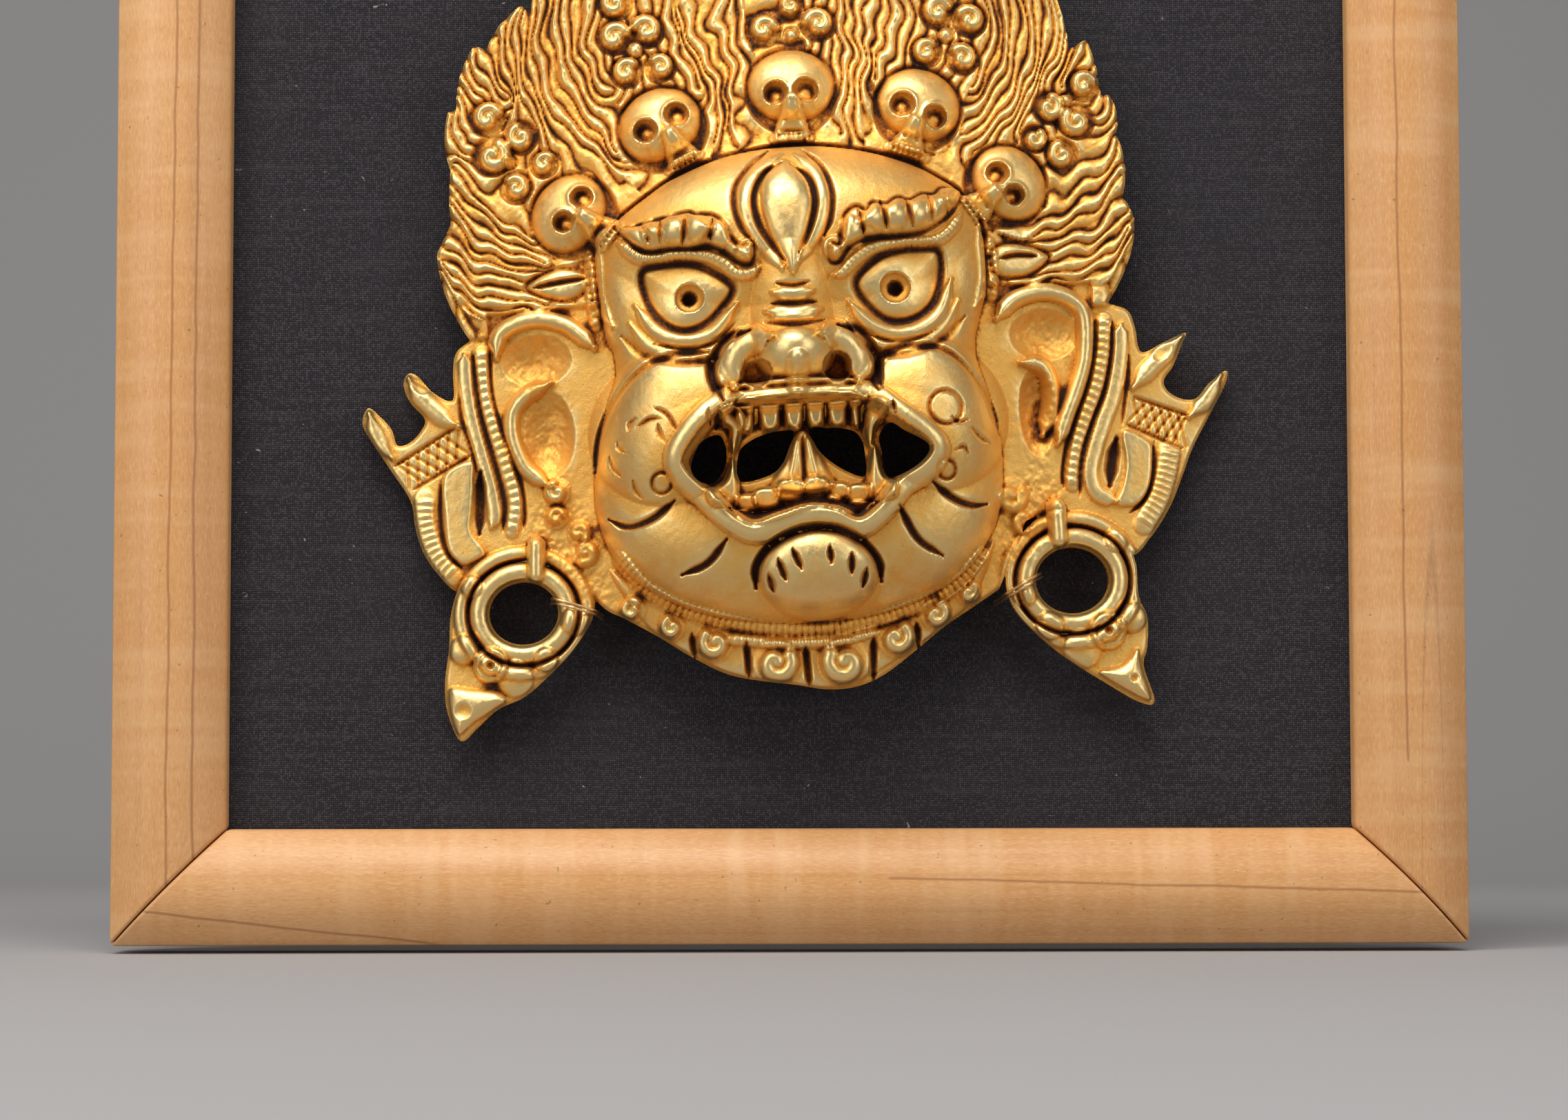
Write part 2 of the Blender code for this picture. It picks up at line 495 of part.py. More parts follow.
def build_mask(relief, material):
    rows, columns = relief.height.shape
    body = bmesh.new()
    bmesh.ops.create_grid(body, x_segments=columns - 1, y_segments=rows - 1, size=1)
    body.verts.ensure_lookup_table()
    for vertex, u, v in zip(body.verts, relief.u.ravel(), relief.v.ravel()):
        vertex.co = (u, v, 0)
    cells = solid_cells(relief).ravel()
    outside = [face for face, keep in zip(body.faces, cells) if not keep]
    bmesh.ops.delete(body, geom=outside, context="FACES")
    slope_v, slope_u = np.gradient(relief.depth, relief.pitch)
    for vertex in body.verts:
        if vertex.is_boundary:
            for _ in range(2):
                u, v = vertex.co.x, vertex.co.y
                depth = relief.at(relief.depth, u, v)
                gu, gv = relief.at(slope_u, u, v), relief.at(slope_v, u, v)
                slope = max(gu * gu + gv * gv, 0.25)
                vertex.co.x -= depth * gu / slope
                vertex.co.y -= depth * gv / slope
    made = bmesh.ops.extrude_face_region(body, geom=body.faces[:])["geom"]
    behind = {item for item in made if isinstance(item, bmesh.types.BMVert)}
    for vertex in body.verts:
        u, v = vertex.co.x, vertex.co.y
        height = relief.at(relief.inner if vertex in behind else relief.height, u, v)
        vertex.co = (u * unit, -height * unit, v * unit)
    bmesh.ops.recalc_face_normals(body, faces=body.faces[:])
    mesh = bpy.data.meshes.new("mask")
    body.to_mesh(mesh)
    triangles = 2 * len(body.faces)
    body.free()
    mesh.shade_smooth()
    mask = add_object("mask", mesh, material)
    thin = mask.modifiers.new("fewer faces", "DECIMATE")
    thin.ratio = maskTriangles / triangles
    thin.use_collapse_triangulate = True
    place_on_cloth(mask)


def place_on_cloth(thing):
    thing.location = (maskShift, clothFront, openingMiddle - maskDrop)
    thing.rotation_euler = (0, -maskTilt, 0)


def on_panel(u, v):
    # world X and Z of a place on the carving's plane
    across, upward = u * unit, v * unit
    return (maskShift + across * math.cos(maskTilt) - upward * math.sin(maskTilt),
            openingMiddle - maskDrop + across * math.sin(maskTilt) + upward * math.cos(maskTilt))


# Frame, board and cloth


def rail_profile():
    # across the rail from the opening outward, and depth from the wall
    profile = [(rebateWidth, 0), (rebateWidth, rebateDepth), (0, rebateDepth)]
    for step in range(crownSteps + 1):
        t = step / crownSteps
        edge = innerEdgeDepth + (outerEdgeDepth - innerEdgeDepth) * t
        crown = railDepth - (innerEdgeDepth + outerEdgeDepth) / 2
        profile.append((railWidth * t, edge + crown * (1 - (2 * t - 1) ** 2)))
    profile.append((railWidth, 0))
    return profile


def build_rail(name, half_length, place, turn, material):
    # the rail lies along X with its inner edge at the origin, then turns into place
    mitre = gap / math.sqrt(2)
    body = bmesh.new()
    profile = rail_profile()
    first = [body.verts.new((-(half_length + across - mitre), -depth, across)) for across, depth in profile]
    end = body.faces.new(first)
    made = bmesh.ops.extrude_face_region(body, geom=[end])["geom"]
    for item in made:
        if isinstance(item, bmesh.types.BMVert):
            item.co.x = -item.co.x
    bmesh.ops.recalc_face_normals(body, faces=body.faces[:])
    mesh = bpy.data.meshes.new(name)
    body.to_mesh(mesh)
    body.free()
    rail = add_object(name, mesh, material)
    rail.location = (place[0], 0, place[1])
    rail.rotation_euler = (0, turn, 0)


def build_frame(material):
    half_height = (openingTop - openingBottom) / 2
    build_rail("frame_rail_top", openingHalf, (0, openingTop), 0, material)
    build_rail("frame_rail_bottom", openingHalf, (0, openingBottom), math.pi, material)
    build_rail("frame_rail_right", half_height, (openingHalf, openingMiddle), math.pi / 2, material)
    build_rail("frame_rail_left", half_height, (-openingHalf, openingMiddle), -math.pi / 2, material)


def build_panel(name, front, back, holes, material):
    body = bmesh.new()
    bmesh.ops.create_cube(body, size=1)
    size = (2 * panelHalfWidth, back - front, panelTop - panelBottom)
    bmesh.ops.scale(body, vec=size, verts=body.verts)
    bmesh.ops.translate(body, vec=(0, (front + back) / 2, (panelTop + panelBottom) / 2), verts=body.verts)
    mesh = bpy.data.meshes.new(name)
    body.to_mesh(mesh)
    body.free()
    panel = add_object(name, mesh, material)
    for index, (x, z) in enumerate(holes):
        cut = panel.modifiers.new("tie hole %d" % index, "BOOLEAN")
        cut.operation = "DIFFERENCE"
        cut.object = hole_cutter(x, z)


def hole_cutter(x, z):
    body = bmesh.new()
    bmesh.ops.create_cone(body, cap_ends=True, segments=12, radius1=tieHoleRadius, radius2=tieHoleRadius,
                          depth=2 * railDepth)
    mesh = bpy.data.meshes.new("tie hole")
    body.to_mesh(mesh)
    body.free()
    cutter = bpy.data.objects.new("tie hole", mesh)
    bpy.context.scene.collection.objects.link(cutter)
    cutter.location = (x, 0, z)
    cutter.rotation_euler = (math.pi / 2, 0, 0)
    cutter.hide_render = True
    cutter.display_type = "WIRE"
    return cutter


# Wire ties: each goes up through the ring, over its rim and down beside it

tieEnds = {"left": ((-52.6, -57.3), (-42.3, -60.9)), "right": ((49.3, -57.3), (39.3, -62.6))}


def tie_route(relief, start, end):
    start, end = np.array(start), np.array(end)
    clear = (wireClearance + wireRadius) / unit
    shares = np.linspace(0, 1, 15)
    spots = start + shares[:, None] * (end - start)
    rises = []
    for u, v in spots:
        near = [relief.at(relief.height, u + a, v + b) if relief.at(relief.depth, u + a, v + b) > -0.3 else 0
                for a in (-0.9, 0, 0.9) for b in (-0.9, 0, 0.9)]
        rises.append(max(near) + clear)
    rises[0] = rises[-1] = clear
    taut = list(rises)
    for i in range(1, len(taut) - 1):
        for a in range(i):
            for b in range(i + 1, len(rises)):
                share = (shares[i] - shares[a]) / (shares[b] - shares[a])
                taut[i] = max(taut[i], rises[a] + (rises[b] - rises[a]) * share)
    return spots, taut


def build_tie(name, relief, ends, material):
    spots, rises = tie_route(relief, *ends)
    behind = boardBack + wireRadius + gap
    front = [(*on_panel(u, v), clothFront - rise * unit) for (u, v), rise in zip(spots, rises)]
    first, last = front[0], front[-1]
    route = [(first[0] * 0.55 + last[0] * 0.45, behind, first[1] * 0.55 + last[1] * 0.45),
             (first[0], behind, first[1]), (first[0], boardBack, first[1])]
    route += [(x, y, z) for x, z, y in front]
    route += [(last[0], boardBack, last[1]), (last[0], behind, last[1]),
              (first[0] * 0.35 + last[0] * 0.65, behind, first[1] * 0.35 + last[1] * 0.65)]
    data = bpy.data.curves.new(name, "CURVE")
    data.dimensions = "3D"
    data.bevel_depth = wireRadius
    data.bevel_resolution = 1
    data.use_fill_caps = True
    spline = data.splines.new("POLY")
    spline.points.add(len(route) - 1)
    for point, place in zip(spline.points, route):
        point.co = (*place, 1)
    tie = bpy.data.objects.new(name, data)
    bpy.context.scene.collection.objects.link(tie)
    data.materials.append(material)


def main():
    clear_scene()
    wood = make_material("oiled maple", (0.52, 0.28, 0.10), 0.42, 0)
    cloth = make_material("charcoal cloth", (0.035, 0.035, 0.04), 0.9, 0)
    board = make_material("grey board", (0.30, 0.27, 0.22), 0.85, 0)
    gilt = make_material("gilt copper", (0.83, 0.52, 0.17), 0.3, 1)
    wire = make_material("brass wire", (0.60, 0.42, 0.20), 0.35, 1)
    build_frame(wood)
    holes = [on_panel(*end) for ends in tieEnds.values() for end in ends]
    build_panel("backing_board", boardFront, boardBack, holes, board)
    build_panel("backing_cloth", clothFront, clothBack, holes, cloth)
    relief = carve_mask(carvePitch)
    build_mask(relief, gilt)
    for side, ends in tieEnds.items():
        build_tie("wire_tie_" + side, relief, ends, wire)


main()
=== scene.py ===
import math

import bmesh
import bpy
import numpy as np
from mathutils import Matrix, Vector


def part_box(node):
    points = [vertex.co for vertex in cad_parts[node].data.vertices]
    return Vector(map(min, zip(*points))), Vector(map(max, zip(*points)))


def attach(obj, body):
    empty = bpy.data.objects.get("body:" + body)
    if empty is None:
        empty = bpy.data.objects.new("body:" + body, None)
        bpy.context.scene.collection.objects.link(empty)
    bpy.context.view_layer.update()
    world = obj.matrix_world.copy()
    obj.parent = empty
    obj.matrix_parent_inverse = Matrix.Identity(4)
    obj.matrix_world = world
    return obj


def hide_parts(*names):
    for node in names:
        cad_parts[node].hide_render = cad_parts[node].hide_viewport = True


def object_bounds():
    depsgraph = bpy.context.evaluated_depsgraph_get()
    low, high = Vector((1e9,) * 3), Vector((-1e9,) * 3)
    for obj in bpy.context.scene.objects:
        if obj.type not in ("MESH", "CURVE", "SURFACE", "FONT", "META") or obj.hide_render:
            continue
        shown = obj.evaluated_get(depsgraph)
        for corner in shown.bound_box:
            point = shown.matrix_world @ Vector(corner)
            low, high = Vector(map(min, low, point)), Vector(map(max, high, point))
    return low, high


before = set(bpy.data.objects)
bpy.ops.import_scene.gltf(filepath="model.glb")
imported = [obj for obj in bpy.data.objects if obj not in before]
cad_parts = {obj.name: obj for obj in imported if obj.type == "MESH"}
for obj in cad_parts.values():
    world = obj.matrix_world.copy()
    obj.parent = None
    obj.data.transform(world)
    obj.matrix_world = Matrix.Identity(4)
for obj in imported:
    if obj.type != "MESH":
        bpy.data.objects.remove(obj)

cadBox = [list(corner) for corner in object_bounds()]
millimetre = 0.001

print("frame loaded")


# Helpers shared by every piece


def newObject(name, mesh, material, slot, *nodes):
    piece = bpy.data.objects.new(name, mesh)
    bpy.context.scene.collection.objects.link(piece)
    mesh.materials.clear()
    mesh.materials.append(material)
    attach(piece, "root")
    if nodes:
        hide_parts(*nodes)
    return piece


def meshFrom(body, name):
    mesh = bpy.data.meshes.new(name)
    body.to_mesh(mesh)
    body.free()
    return mesh


def vertsOf(made):
    return [item for item in made if isinstance(item, bmesh.types.BMVert)]


def smoothFaces(body):
    for face in body.faces:
        face.smooth = True


class Nodes:
    # small wiring helper for one material

    def __init__(self, name):
        self.material = bpy.data.materials.new(name)
        self.material.use_nodes = True
        self.tree = self.material.node_tree
        self.shader = self.tree.nodes["Principled BSDF"]
        self.place = self.tree.nodes.new("ShaderNodeTexCoord").outputs["Object"]

    def add(self, kind, inputs=None, **settings):
        node = self.tree.nodes.new(kind)
        for key, value in settings.items():
            setattr(node, key, value)
        for key, value in (inputs or {}).items():
            self.feed(node.inputs[key], value)
        return node

    def feed(self, socket, value):
        if isinstance(value, bpy.types.NodeSocket):
            self.tree.links.new(value, socket)
        else:
            socket.default_value = value

    def math(self, operation, first, second=0.0):
        return self.add("ShaderNodeMath", {0: first, 1: second}, operation=operation).outputs[0]

    def noise(self, scale, detail=3, roughness=0.55, place=None, distortion=0.0):
        node = self.add("ShaderNodeTexNoise", {"Vector": place or self.place, "Scale": scale,
                                               "Detail": detail, "Roughness": roughness,
                                               "Distortion": distortion})
        return node.outputs["Fac"]

    def span(self, value, low, high, start=0.0, end=1.0):
        node = self.add("ShaderNodeMapRange", {"Value": value, "From Min": low, "From Max": high,
                                               "To Min": start, "To Max": end})
        return node.outputs["Result"]

    def mix(self, share, first, second):
        node = self.add("ShaderNodeMix", data_type="RGBA")
        self.feed(node.inputs[0], share)
        self.feed(node.inputs[6], colour(first))
        self.feed(node.inputs[7], colour(second))
        return node.outputs[2]

    def stretch(self, scale, turn=(0, 0, 0)):
        node = self.add("ShaderNodeMapping", {"Vector": self.place, "Scale": scale, "Rotation": turn})
        return node.outputs[0]

    def attribute(self, name):
        return self.add("ShaderNodeAttribute", attribute_name=name).outputs["Fac"]

    def bump(self, height, distance, strength=1.0, normal=None):
        inputs = {"Height": height, "Distance": distance, "Strength": strength}
        if normal:
            inputs["Normal"] = normal
        return self.add("ShaderNodeBump", inputs).outputs["Normal"]

    def finish(self, **sockets):
        for key, value in sockets.items():
            self.feed(self.shader.inputs[key.replace("_", " ")], colour(value))
        return self.material


def colour(value):
    return (*value, 1.0) if isinstance(value, tuple) and len(value) == 3 else value


# Camera, floor and light

# the camera stands low, a little to the left, and looks slightly up
view = {
    "lens": 85.0,
    "sensor": 36.0,
    "place": (-0.02145, -0.78009, -0.25622),
    "pitch": math.radians(90) + 0.061964,
    "roll": 0.0013686,
    "yaw": -0.025740,
}

stage = {
    "floorHalf": 3.0,
    "sweepStart": 0.55,
    "sweepRadius": 0.6,
    "sweepSteps": 24,
    "wallHeight": 2.2,
    "grey": (0.37, 0.36, 0.36),
    "underFrame": 0.0016,
}

# each lamp: place, size across and up, strength in watts, colour
lamps = {
    "top key": ((-0.18, -0.62, 0.80), (1.0, 0.55), 13.8, (1.0, 0.98, 0.96)),
    "left fill": ((-0.95, -0.85, 0.15), (0.55, 0.9), 4.3, (1.0, 0.98, 0.96)),
    "right fill": ((1.0, -0.80, 0.12), (0.55, 0.9), 3.6, (0.97, 0.98, 1.0)),
}
lampAim = (0, 0, -0.15)
world = {"light": (0.56, 0.56, 0.57), "strength": 0.36}


def makeCamera():
    data = bpy.data.cameras.new("camera")
    data.lens = view["lens"]
    data.sensor_width = view["sensor"]
    data.sensor_fit = "HORIZONTAL"
    data.clip_start = 0.01
    camera = bpy.data.objects.new("camera", data)
    bpy.context.scene.collection.objects.link(camera)
    camera.location = view["place"]
    camera.rotation_euler = (view["pitch"], view["roll"], view["yaw"])
    bpy.context.scene.camera = camera


def makeStage():
    body = bmesh.new()
    floor = cadBox[0][2] - stage["underFrame"]
    half = stage["floorHalf"]
    radius = stage["sweepRadius"]
    bmesh.ops.create_grid(body, x_segments=1, y_segments=1, size=half)
    bmesh.ops.translate(body, vec=(0, stage["sweepStart"] - half, floor), verts=body.verts)
    back = [edge for edge in body.edges if all(v.co.y > stage["sweepStart"] - 0.01 for v in edge.verts)]
    centre = (0, stage["sweepStart"], floor + radius)
    swept = bmesh.ops.spin(body, geom=back, cent=centre, axis=(1, 0, 0), angle=math.pi / 2,
                           steps=stage["sweepSteps"], use_merge=False)
    last = [item for item in swept["geom_last"] if isinstance(item, bmesh.types.BMEdge)]
    wall = bmesh.ops.extrude_edge_only(body, edges=last)["geom"]
    bmesh.ops.translate(body, vec=(0, 0, stage["wallHeight"]), verts=vertsOf(wall))
    smoothFaces(body)
    mesh = meshFrom(body, "studio sweep")
    paper = Nodes("pale studio paper")
    sweep = bpy.data.objects.new("studio_sweep", mesh)
    bpy.context.scene.collection.objects.link(sweep)
    mesh.materials.append(paper.finish(Base_Color=stage["grey"], Roughness=0.85))


def makeLamps():
    aim = Vector(lampAim)
    for name, (place, size, power, tint) in lamps.items():
        data = bpy.data.lights.new(name, "AREA")
        data.shape = "RECTANGLE"
        data.size, data.size_y = size
        data.energy = power
        data.color = tint
        lamp = bpy.data.objects.new(name, data)
        bpy.context.scene.collection.objects.link(lamp)
        lamp.location = place
        lamp.rotation_euler = (aim - Vector(place)).to_track_quat("-Z", "Y").to_euler()
    bpy.context.scene.view_settings.view_transform = "Standard"
    studio = bpy.data.worlds.new("studio")
    bpy.context.scene.world = studio
    studio.use_nodes = True
    sky = studio.node_tree.nodes["Background"]
    sky.inputs["Color"].default_value = colour(world["light"])
    sky.inputs["Strength"].default_value = world["strength"]


makeCamera()
makeStage()
makeLamps()
print("camera, floor and light set")


# Wooden frame

rails = {
    "innerEdge": 0.0165,
    "outerEdge": 0.0155,
    "depth": 0.022,
    "rebateWidth": 0.006,
    "rebateDepth": 0.0123,
    "crownSteps": 40,
    "softEdge": 0.0009,
    "softenFrom": math.radians(25),
    # brown veins: where one starts along the grain and across it, where it ends, its slope
    "veins": {"x": [(-0.1322, -0.2810, -0.0749, -0.115), (0.020, -0.2742, 0.128, -0.028)],
              "z": [(-0.2800, -0.1278, 0.0, 0.004), (-0.2760, -0.1226, 0.0, 0.0),
                    (-0.2500, 0.1262, 0.0, -0.006)]},
}
woodTones = {
    "light": (0.71, 0.375, 0.145),
    "dark": (0.60, 0.275, 0.088),
    "fibre": (0.42, 0.175, 0.055),
    "cloud": (0.78, 0.47, 0.23),
    "thread": (0.30, 0.13, 0.05),
    "darkFleck": (0.47, 0.205, 0.062),
    "lightFleck": (0.88, 0.60, 0.34),
    "figure": (0.82, 0.52, 0.27),
    "vein": (0.30, 0.12, 0.04),
    "speck": (0.16, 0.08, 0.04),
}


def grainScale(along, slow, quick):
    # how a pattern is drawn out along the grain
    return {"x": (slow, quick, quick), "z": (quick, quick, slow)}[along]


def addVeins(wood, along, base):
    apart = wood.add("ShaderNodeSeparateXYZ", {0: wood.place})
    run, side = apart.outputs[along.upper()], apart.outputs[{"x": "Z", "z": "X"}[along]]
    bend = wood.span(wood.noise(45.0, 2), 0.3, 0.7, -0.0003, 0.0003)
    for start, level, end, slope in rails["veins"][along]:
        straight = wood.math("ADD", wood.math("MULTIPLY", run, slope), level - slope * start)
        off = wood.math("ABSOLUTE", wood.math("SUBTRACT", wood.math("ADD", side, bend), straight))
        begun = wood.span(run, start - 0.001, start, 0, 1)
        within = wood.math("MULTIPLY", begun, wood.span(run, end, end + 0.004, 1, 0))
        line = wood.math("MULTIPLY", within, wood.span(off, 0.0001, 0.0004, 0.62, 0))
        base = wood.mix(line, base, woodTones["vein"])
    return base


def woodMaterial(along):
    # along is the axis that the grain runs in
    wood = Nodes("oiled maple " + along)
    fibres = wood.noise(1.0, 4, 0.65, wood.stretch(grainScale(along, 6.0, 260.0)))
    bands = wood.noise(1.0, 3, 0.5, wood.stretch(grainScale(along, 1.5, 40.0)), 0.6)
    cloudy = wood.noise(14.0, 2)
    base = wood.mix(wood.span(bands, 0.35, 0.68), woodTones["light"], woodTones["dark"])
    base = wood.mix(wood.span(fibres, 0.52, 0.8, 0, 0.42), base, woodTones["fibre"])
    base = wood.mix(wood.span(cloudy, 0.4, 0.75, 0, 0.28), base, woodTones["cloud"])
    thread = wood.noise(1.0, 1, 0.4, wood.stretch(grainScale(along, 3.0, 95.0), (0, 0.045, 0)), 0.25)
    thread = wood.math("ABSOLUTE", wood.math("SUBTRACT", thread, 0.63))
    base = wood.mix(wood.span(thread, 0.0, 0.006, 0.45, 0), base, woodTones["thread"])
    flecks = wood.noise(1.0, 2, 0.6, wood.stretch(grainScale(along, 650.0, 3200.0)))
    base = wood.mix(wood.span(flecks, 0.50, 0.72, 0, 0.34), base, woodTones["darkFleck"])
    base = wood.mix(wood.span(flecks, 0.28, 0.46, 0.30, 0), base, woodTones["lightFleck"])
    figure = wood.noise(1.0, 2, 0.5, wood.stretch(grainScale(along, 240.0, 30.0)))
    base = wood.mix(wood.span(figure, 0.45, 0.72, 0, 0.30), base, woodTones["figure"])
    base = addVeins(wood, along, base)
    specks = wood.noise(900.0, 1, 0.5)
    base = wood.mix(wood.span(specks, 0.74, 0.8, 0, 0.55), base, woodTones["speck"])
    rough = wood.span(fibres, 0.3, 0.8, 0.36, 0.55)
    relief = wood.math("ADD", wood.math("MULTIPLY", fibres, 0.5), wood.noise(500.0, 3))
    return wood.finish(Base_Color=base, Roughness=rough, Normal=wood.bump(relief, 0.00006, 0.35),
                       Specular_IOR_Level=0.45)


def railProfile(width):
    # across the rail from the opening outward, and depth from the wall
    profile = [(rails["rebateWidth"], 0), (rails["rebateWidth"], rails["rebateDepth"]),
               (0, rails["rebateDepth"])]
    crown = rails["depth"] - (rails["innerEdge"] + rails["outerEdge"]) / 2
    for step in range(rails["crownSteps"] + 1):
        t = step / rails["crownSteps"]
        edge = rails["innerEdge"] + (rails["outerEdge"] - rails["innerEdge"]) * t
        profile.append((width * t, edge + crown * (1 - (2 * t - 1) ** 2)))
    profile.append((width, 0))
    return profile


def makeRail(node, along, inward, material):
    low, high = (Vector(corner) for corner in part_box(node))
    width = high.z - low.z if along == "x" else high.x - low.x
    outside = {(1, "x"): low.z, (-1, "x"): high.z, (1, "z"): low.x, (-1, "z"): high.x}[(inward, along)]
    inner = outside + inward * width
    middle = (low.z + high.z) / 2 if along == "z" else (low.x + high.x) / 2
    reach = (high.z - low.z) / 2 if along == "z" else (high.x - low.x) / 2
    body = bmesh.new()
    first = []
    for across, depth in railProfile(width):
        start = middle - (reach - width + across)
        side = inner - inward * across
        first.append(body.verts.new((start, -depth, side) if along == "x" else (side, -depth, start)))
    end = body.faces.new(first)
    made = bmesh.ops.extrude_face_region(body, geom=[end])["geom"]
    for vertex in vertsOf(made):
        if along == "x":
            vertex.co.x = 2 * middle - vertex.co.x
        else:
            vertex.co.z = 2 * middle - vertex.co.z
    bmesh.ops.recalc_face_normals(body, faces=body.faces[:])
    sharp = [edge for edge in body.edges if edge.calc_face_angle(0) > rails["softenFrom"]
             and max(-vert.co.y for vert in edge.verts) > rails["rebateDepth"] + millimetre]
    bmesh.ops.bevel(body, geom=sharp, offset=rails["softEdge"], offset_type="OFFSET", segments=4,
                    profile=0.5, affect="EDGES", material=-1, clamp_overlap=True)
    smoothFaces(body)
    mesh = meshFrom(body, node)
    mesh.set_sharp_from_angle(angle=math.radians(40))
    newObject(node.replace("frame_", "") + "_moulding", mesh, material, "wood", node)


levelWood = woodMaterial("x")
uprightWood = woodMaterial("z")
makeRail("frame_rail_bottom", "x", 1, levelWood)
makeRail("frame_rail_top", "x", -1, levelWood)
makeRail("frame_rail_left", "z", 1, uprightWood)
makeRail("frame_rail_right", "z", -1, uprightWood)
print("frame rails made")


# Board and cloth

weave = {
    "threads": 2330.0,           # to the metre
    "steps": 160,
    "sag": 0.00012,
    "longRipple": (31, 23),      # across and up, in radians to the metre
    "shortRipple": (90, 40),
}
clothTones = {
    # painted shade in the gaps between the threads
    "gap": (0.004, 0.0034, 0.0046),
    "thread": (0.036, 0.031, 0.037),
    # painted highlight on the crowns of the threads
    "bright": (0.105, 0.096, 0.110),
    "slub": (0.066, 0.060, 0.066),
    "worn": (0.035, 0.032, 0.038),
    "lint": (0.40, 0.37, 0.35),
}
boardTones = {"dark": (0.22, 0.19, 0.15), "light": (0.36, 0.32, 0.26), "stain": (0.24, 0.19, 0.13)}


def boardMaterial():
    board = Nodes("grey board")
    fleck = board.noise(700.0, 4, 0.7)
    stain = board.noise(18.0, 3)
    base = board.mix(fleck, boardTones["dark"], boardTones["light"])
    base = board.mix(board.span(stain, 0.45, 0.7, 0, 0.4), base, boardTones["stain"])
    return board.finish(Base_Color=base, Roughness=0.88, Normal=board.bump(fleck, 0.0001, 0.4))


def clothMaterial():
    cloth = Nodes("charcoal weave")
    wobble = cloth.add("ShaderNodeTexNoise", {"Vector": cloth.place, "Scale": 60.0, "Detail": 3.0})
    shift = cloth.add("ShaderNodeVectorMath", {0: wobble.outputs["Color"], "Scale": 0.0011},
                      operation="SCALE").outputs[0]
    place = cloth.add("ShaderNodeVectorMath", {0: cloth.place, 1: shift}, operation="ADD").outputs[0]
    apart = cloth.add("ShaderNodeSeparateXYZ", {0: place})
    count = weave["threads"]
    across = cloth.math("MULTIPLY", apart.outputs["X"], count)
    upward = cloth.math("MULTIPLY", apart.outputs["Z"], count)
    column = cloth.math("FLOOR", across)
    row = cloth.math("FLOOR", upward)
    checker = cloth.math("ABSOLUTE", cloth.math("MODULO", cloth.math("ADD", column, row), 2.0))
    bumpAcross = cloth.math("SINE", cloth.math("MULTIPLY", cloth.math("FRACT", across), math.pi))
    bumpUp = cloth.math("SINE", cloth.math("MULTIPLY", cloth.math("FRACT", upward), math.pi))
    warp = cloth.math("MULTIPLY", bumpAcross, cloth.span(bumpUp, 0, 1, 0.55, 1))
    weft = cloth.math("MULTIPLY", bumpUp, cloth.span(bumpAcross, 0, 1, 0.55, 1))
    height = cloth.add("ShaderNodeMix", {0: checker, 2: warp, 3: weft}, data_type="FLOAT").outputs[0]
    cell = cloth.add("ShaderNodeCombineXYZ", {0: column, 1: 0.0, 2: row}).outputs[0]
    tone = cloth.add("ShaderNodeTexWhiteNoise", {"Vector": cell}, noise_dimensions="3D").outputs["Value"]
    slub = cloth.noise(1.0, 2, 0.5, cloth.stretch((40.0, 1.0, 700.0)))
    patch = cloth.noise(25.0, 4, 0.6)
    # painted shade: near black between the threads, rising to the thread colour on each crown
    base = cloth.mix(height, clothTones["gap"], clothTones["thread"])
    # painted highlight on the crowns of some threads, strongest at the top of each bump
    bright = cloth.math("MULTIPLY", height, cloth.span(tone, 0.45, 1.0, 0, 0.75))
    base = cloth.mix(bright, base, clothTones["bright"])
    base = cloth.mix(cloth.span(slub, 0.5, 0.75, 0, 0.35), base, clothTones["slub"])
    base = cloth.mix(cloth.span(patch, 0.35, 0.75, 0, 0.35), base, clothTones["worn"])
    lint = cloth.noise(420.0, 2, 0.5, None, 1.2)
    base = cloth.mix(cloth.span(lint, 0.75, 0.79, 0, 0.8), base, clothTones["lint"])
    return cloth.finish(Base_Color=base, Roughness=0.92, Normal=cloth.bump(height, 0.00022, 0.9),
                        Sheen_Weight=0.12, Sheen_Roughness=0.5, Specular_IOR_Level=0.2)


def makeCloth():
    low, high = (Vector(corner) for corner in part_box("backing_cloth"))
    body = bmesh.new()
    steps = weave["steps"]
    bmesh.ops.create_grid(body, x_segments=steps, y_segments=steps, size=0.5)
    width, height = high.x - low.x, high.z - low.z
    longX, longZ = weave["longRipple"]
    shortX, shortZ = weave["shortRipple"]
    for vertex in body.verts:
        x = vertex.co.x * width
        z = vertex.co.y * height + (low.z + high.z) / 2
        ripple = math.sin(longX * x + 0.6) * math.sin(longZ * z) + 0.5 * math.sin(shortX * x + shortZ * z)
        vertex.co = (x, low.y + weave["sag"] * (1.5 + ripple), z)
    made = bmesh.ops.extrude_face_region(body, geom=body.faces[:])["geom"]
    for vertex in vertsOf(made):
        vertex.co.y = high.y
    bmesh.ops.recalc_face_normals(body, faces=body.faces[:])
    smoothFaces(body)
    mesh = meshFrom(body, "cloth")
    mesh.set_sharp_from_angle(angle=math.radians(50))
    cloth = newObject("stretched_cloth", mesh, clothMaterial(), "cloth", "backing_cloth")


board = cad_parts["backing_board"].data
board.materials.clear()
board.materials.append(boardMaterial())
makeCloth()
print("board and cloth made")


# Mask. The carving is drawn in millimetres, u to the right, v up and h out from the cloth,
# about a point between the eyes.

mask = {
    "shift": -0.0005,     # the carving's middle from the cloth's, in metres
    "drop": 0.0192,
    "tilt": math.radians(3.2),
    "pitch": 0.30,        # step of the grid; this and the rest are in millimetres
    "wall": 2.6,
    "rimWall": 1.7,
    "leastWall": 0.8,
    "behind": 0.35,
    "edgeRound": 0.9,
    "top": 114,
    "bottom": -89,
    "half": 93,
}


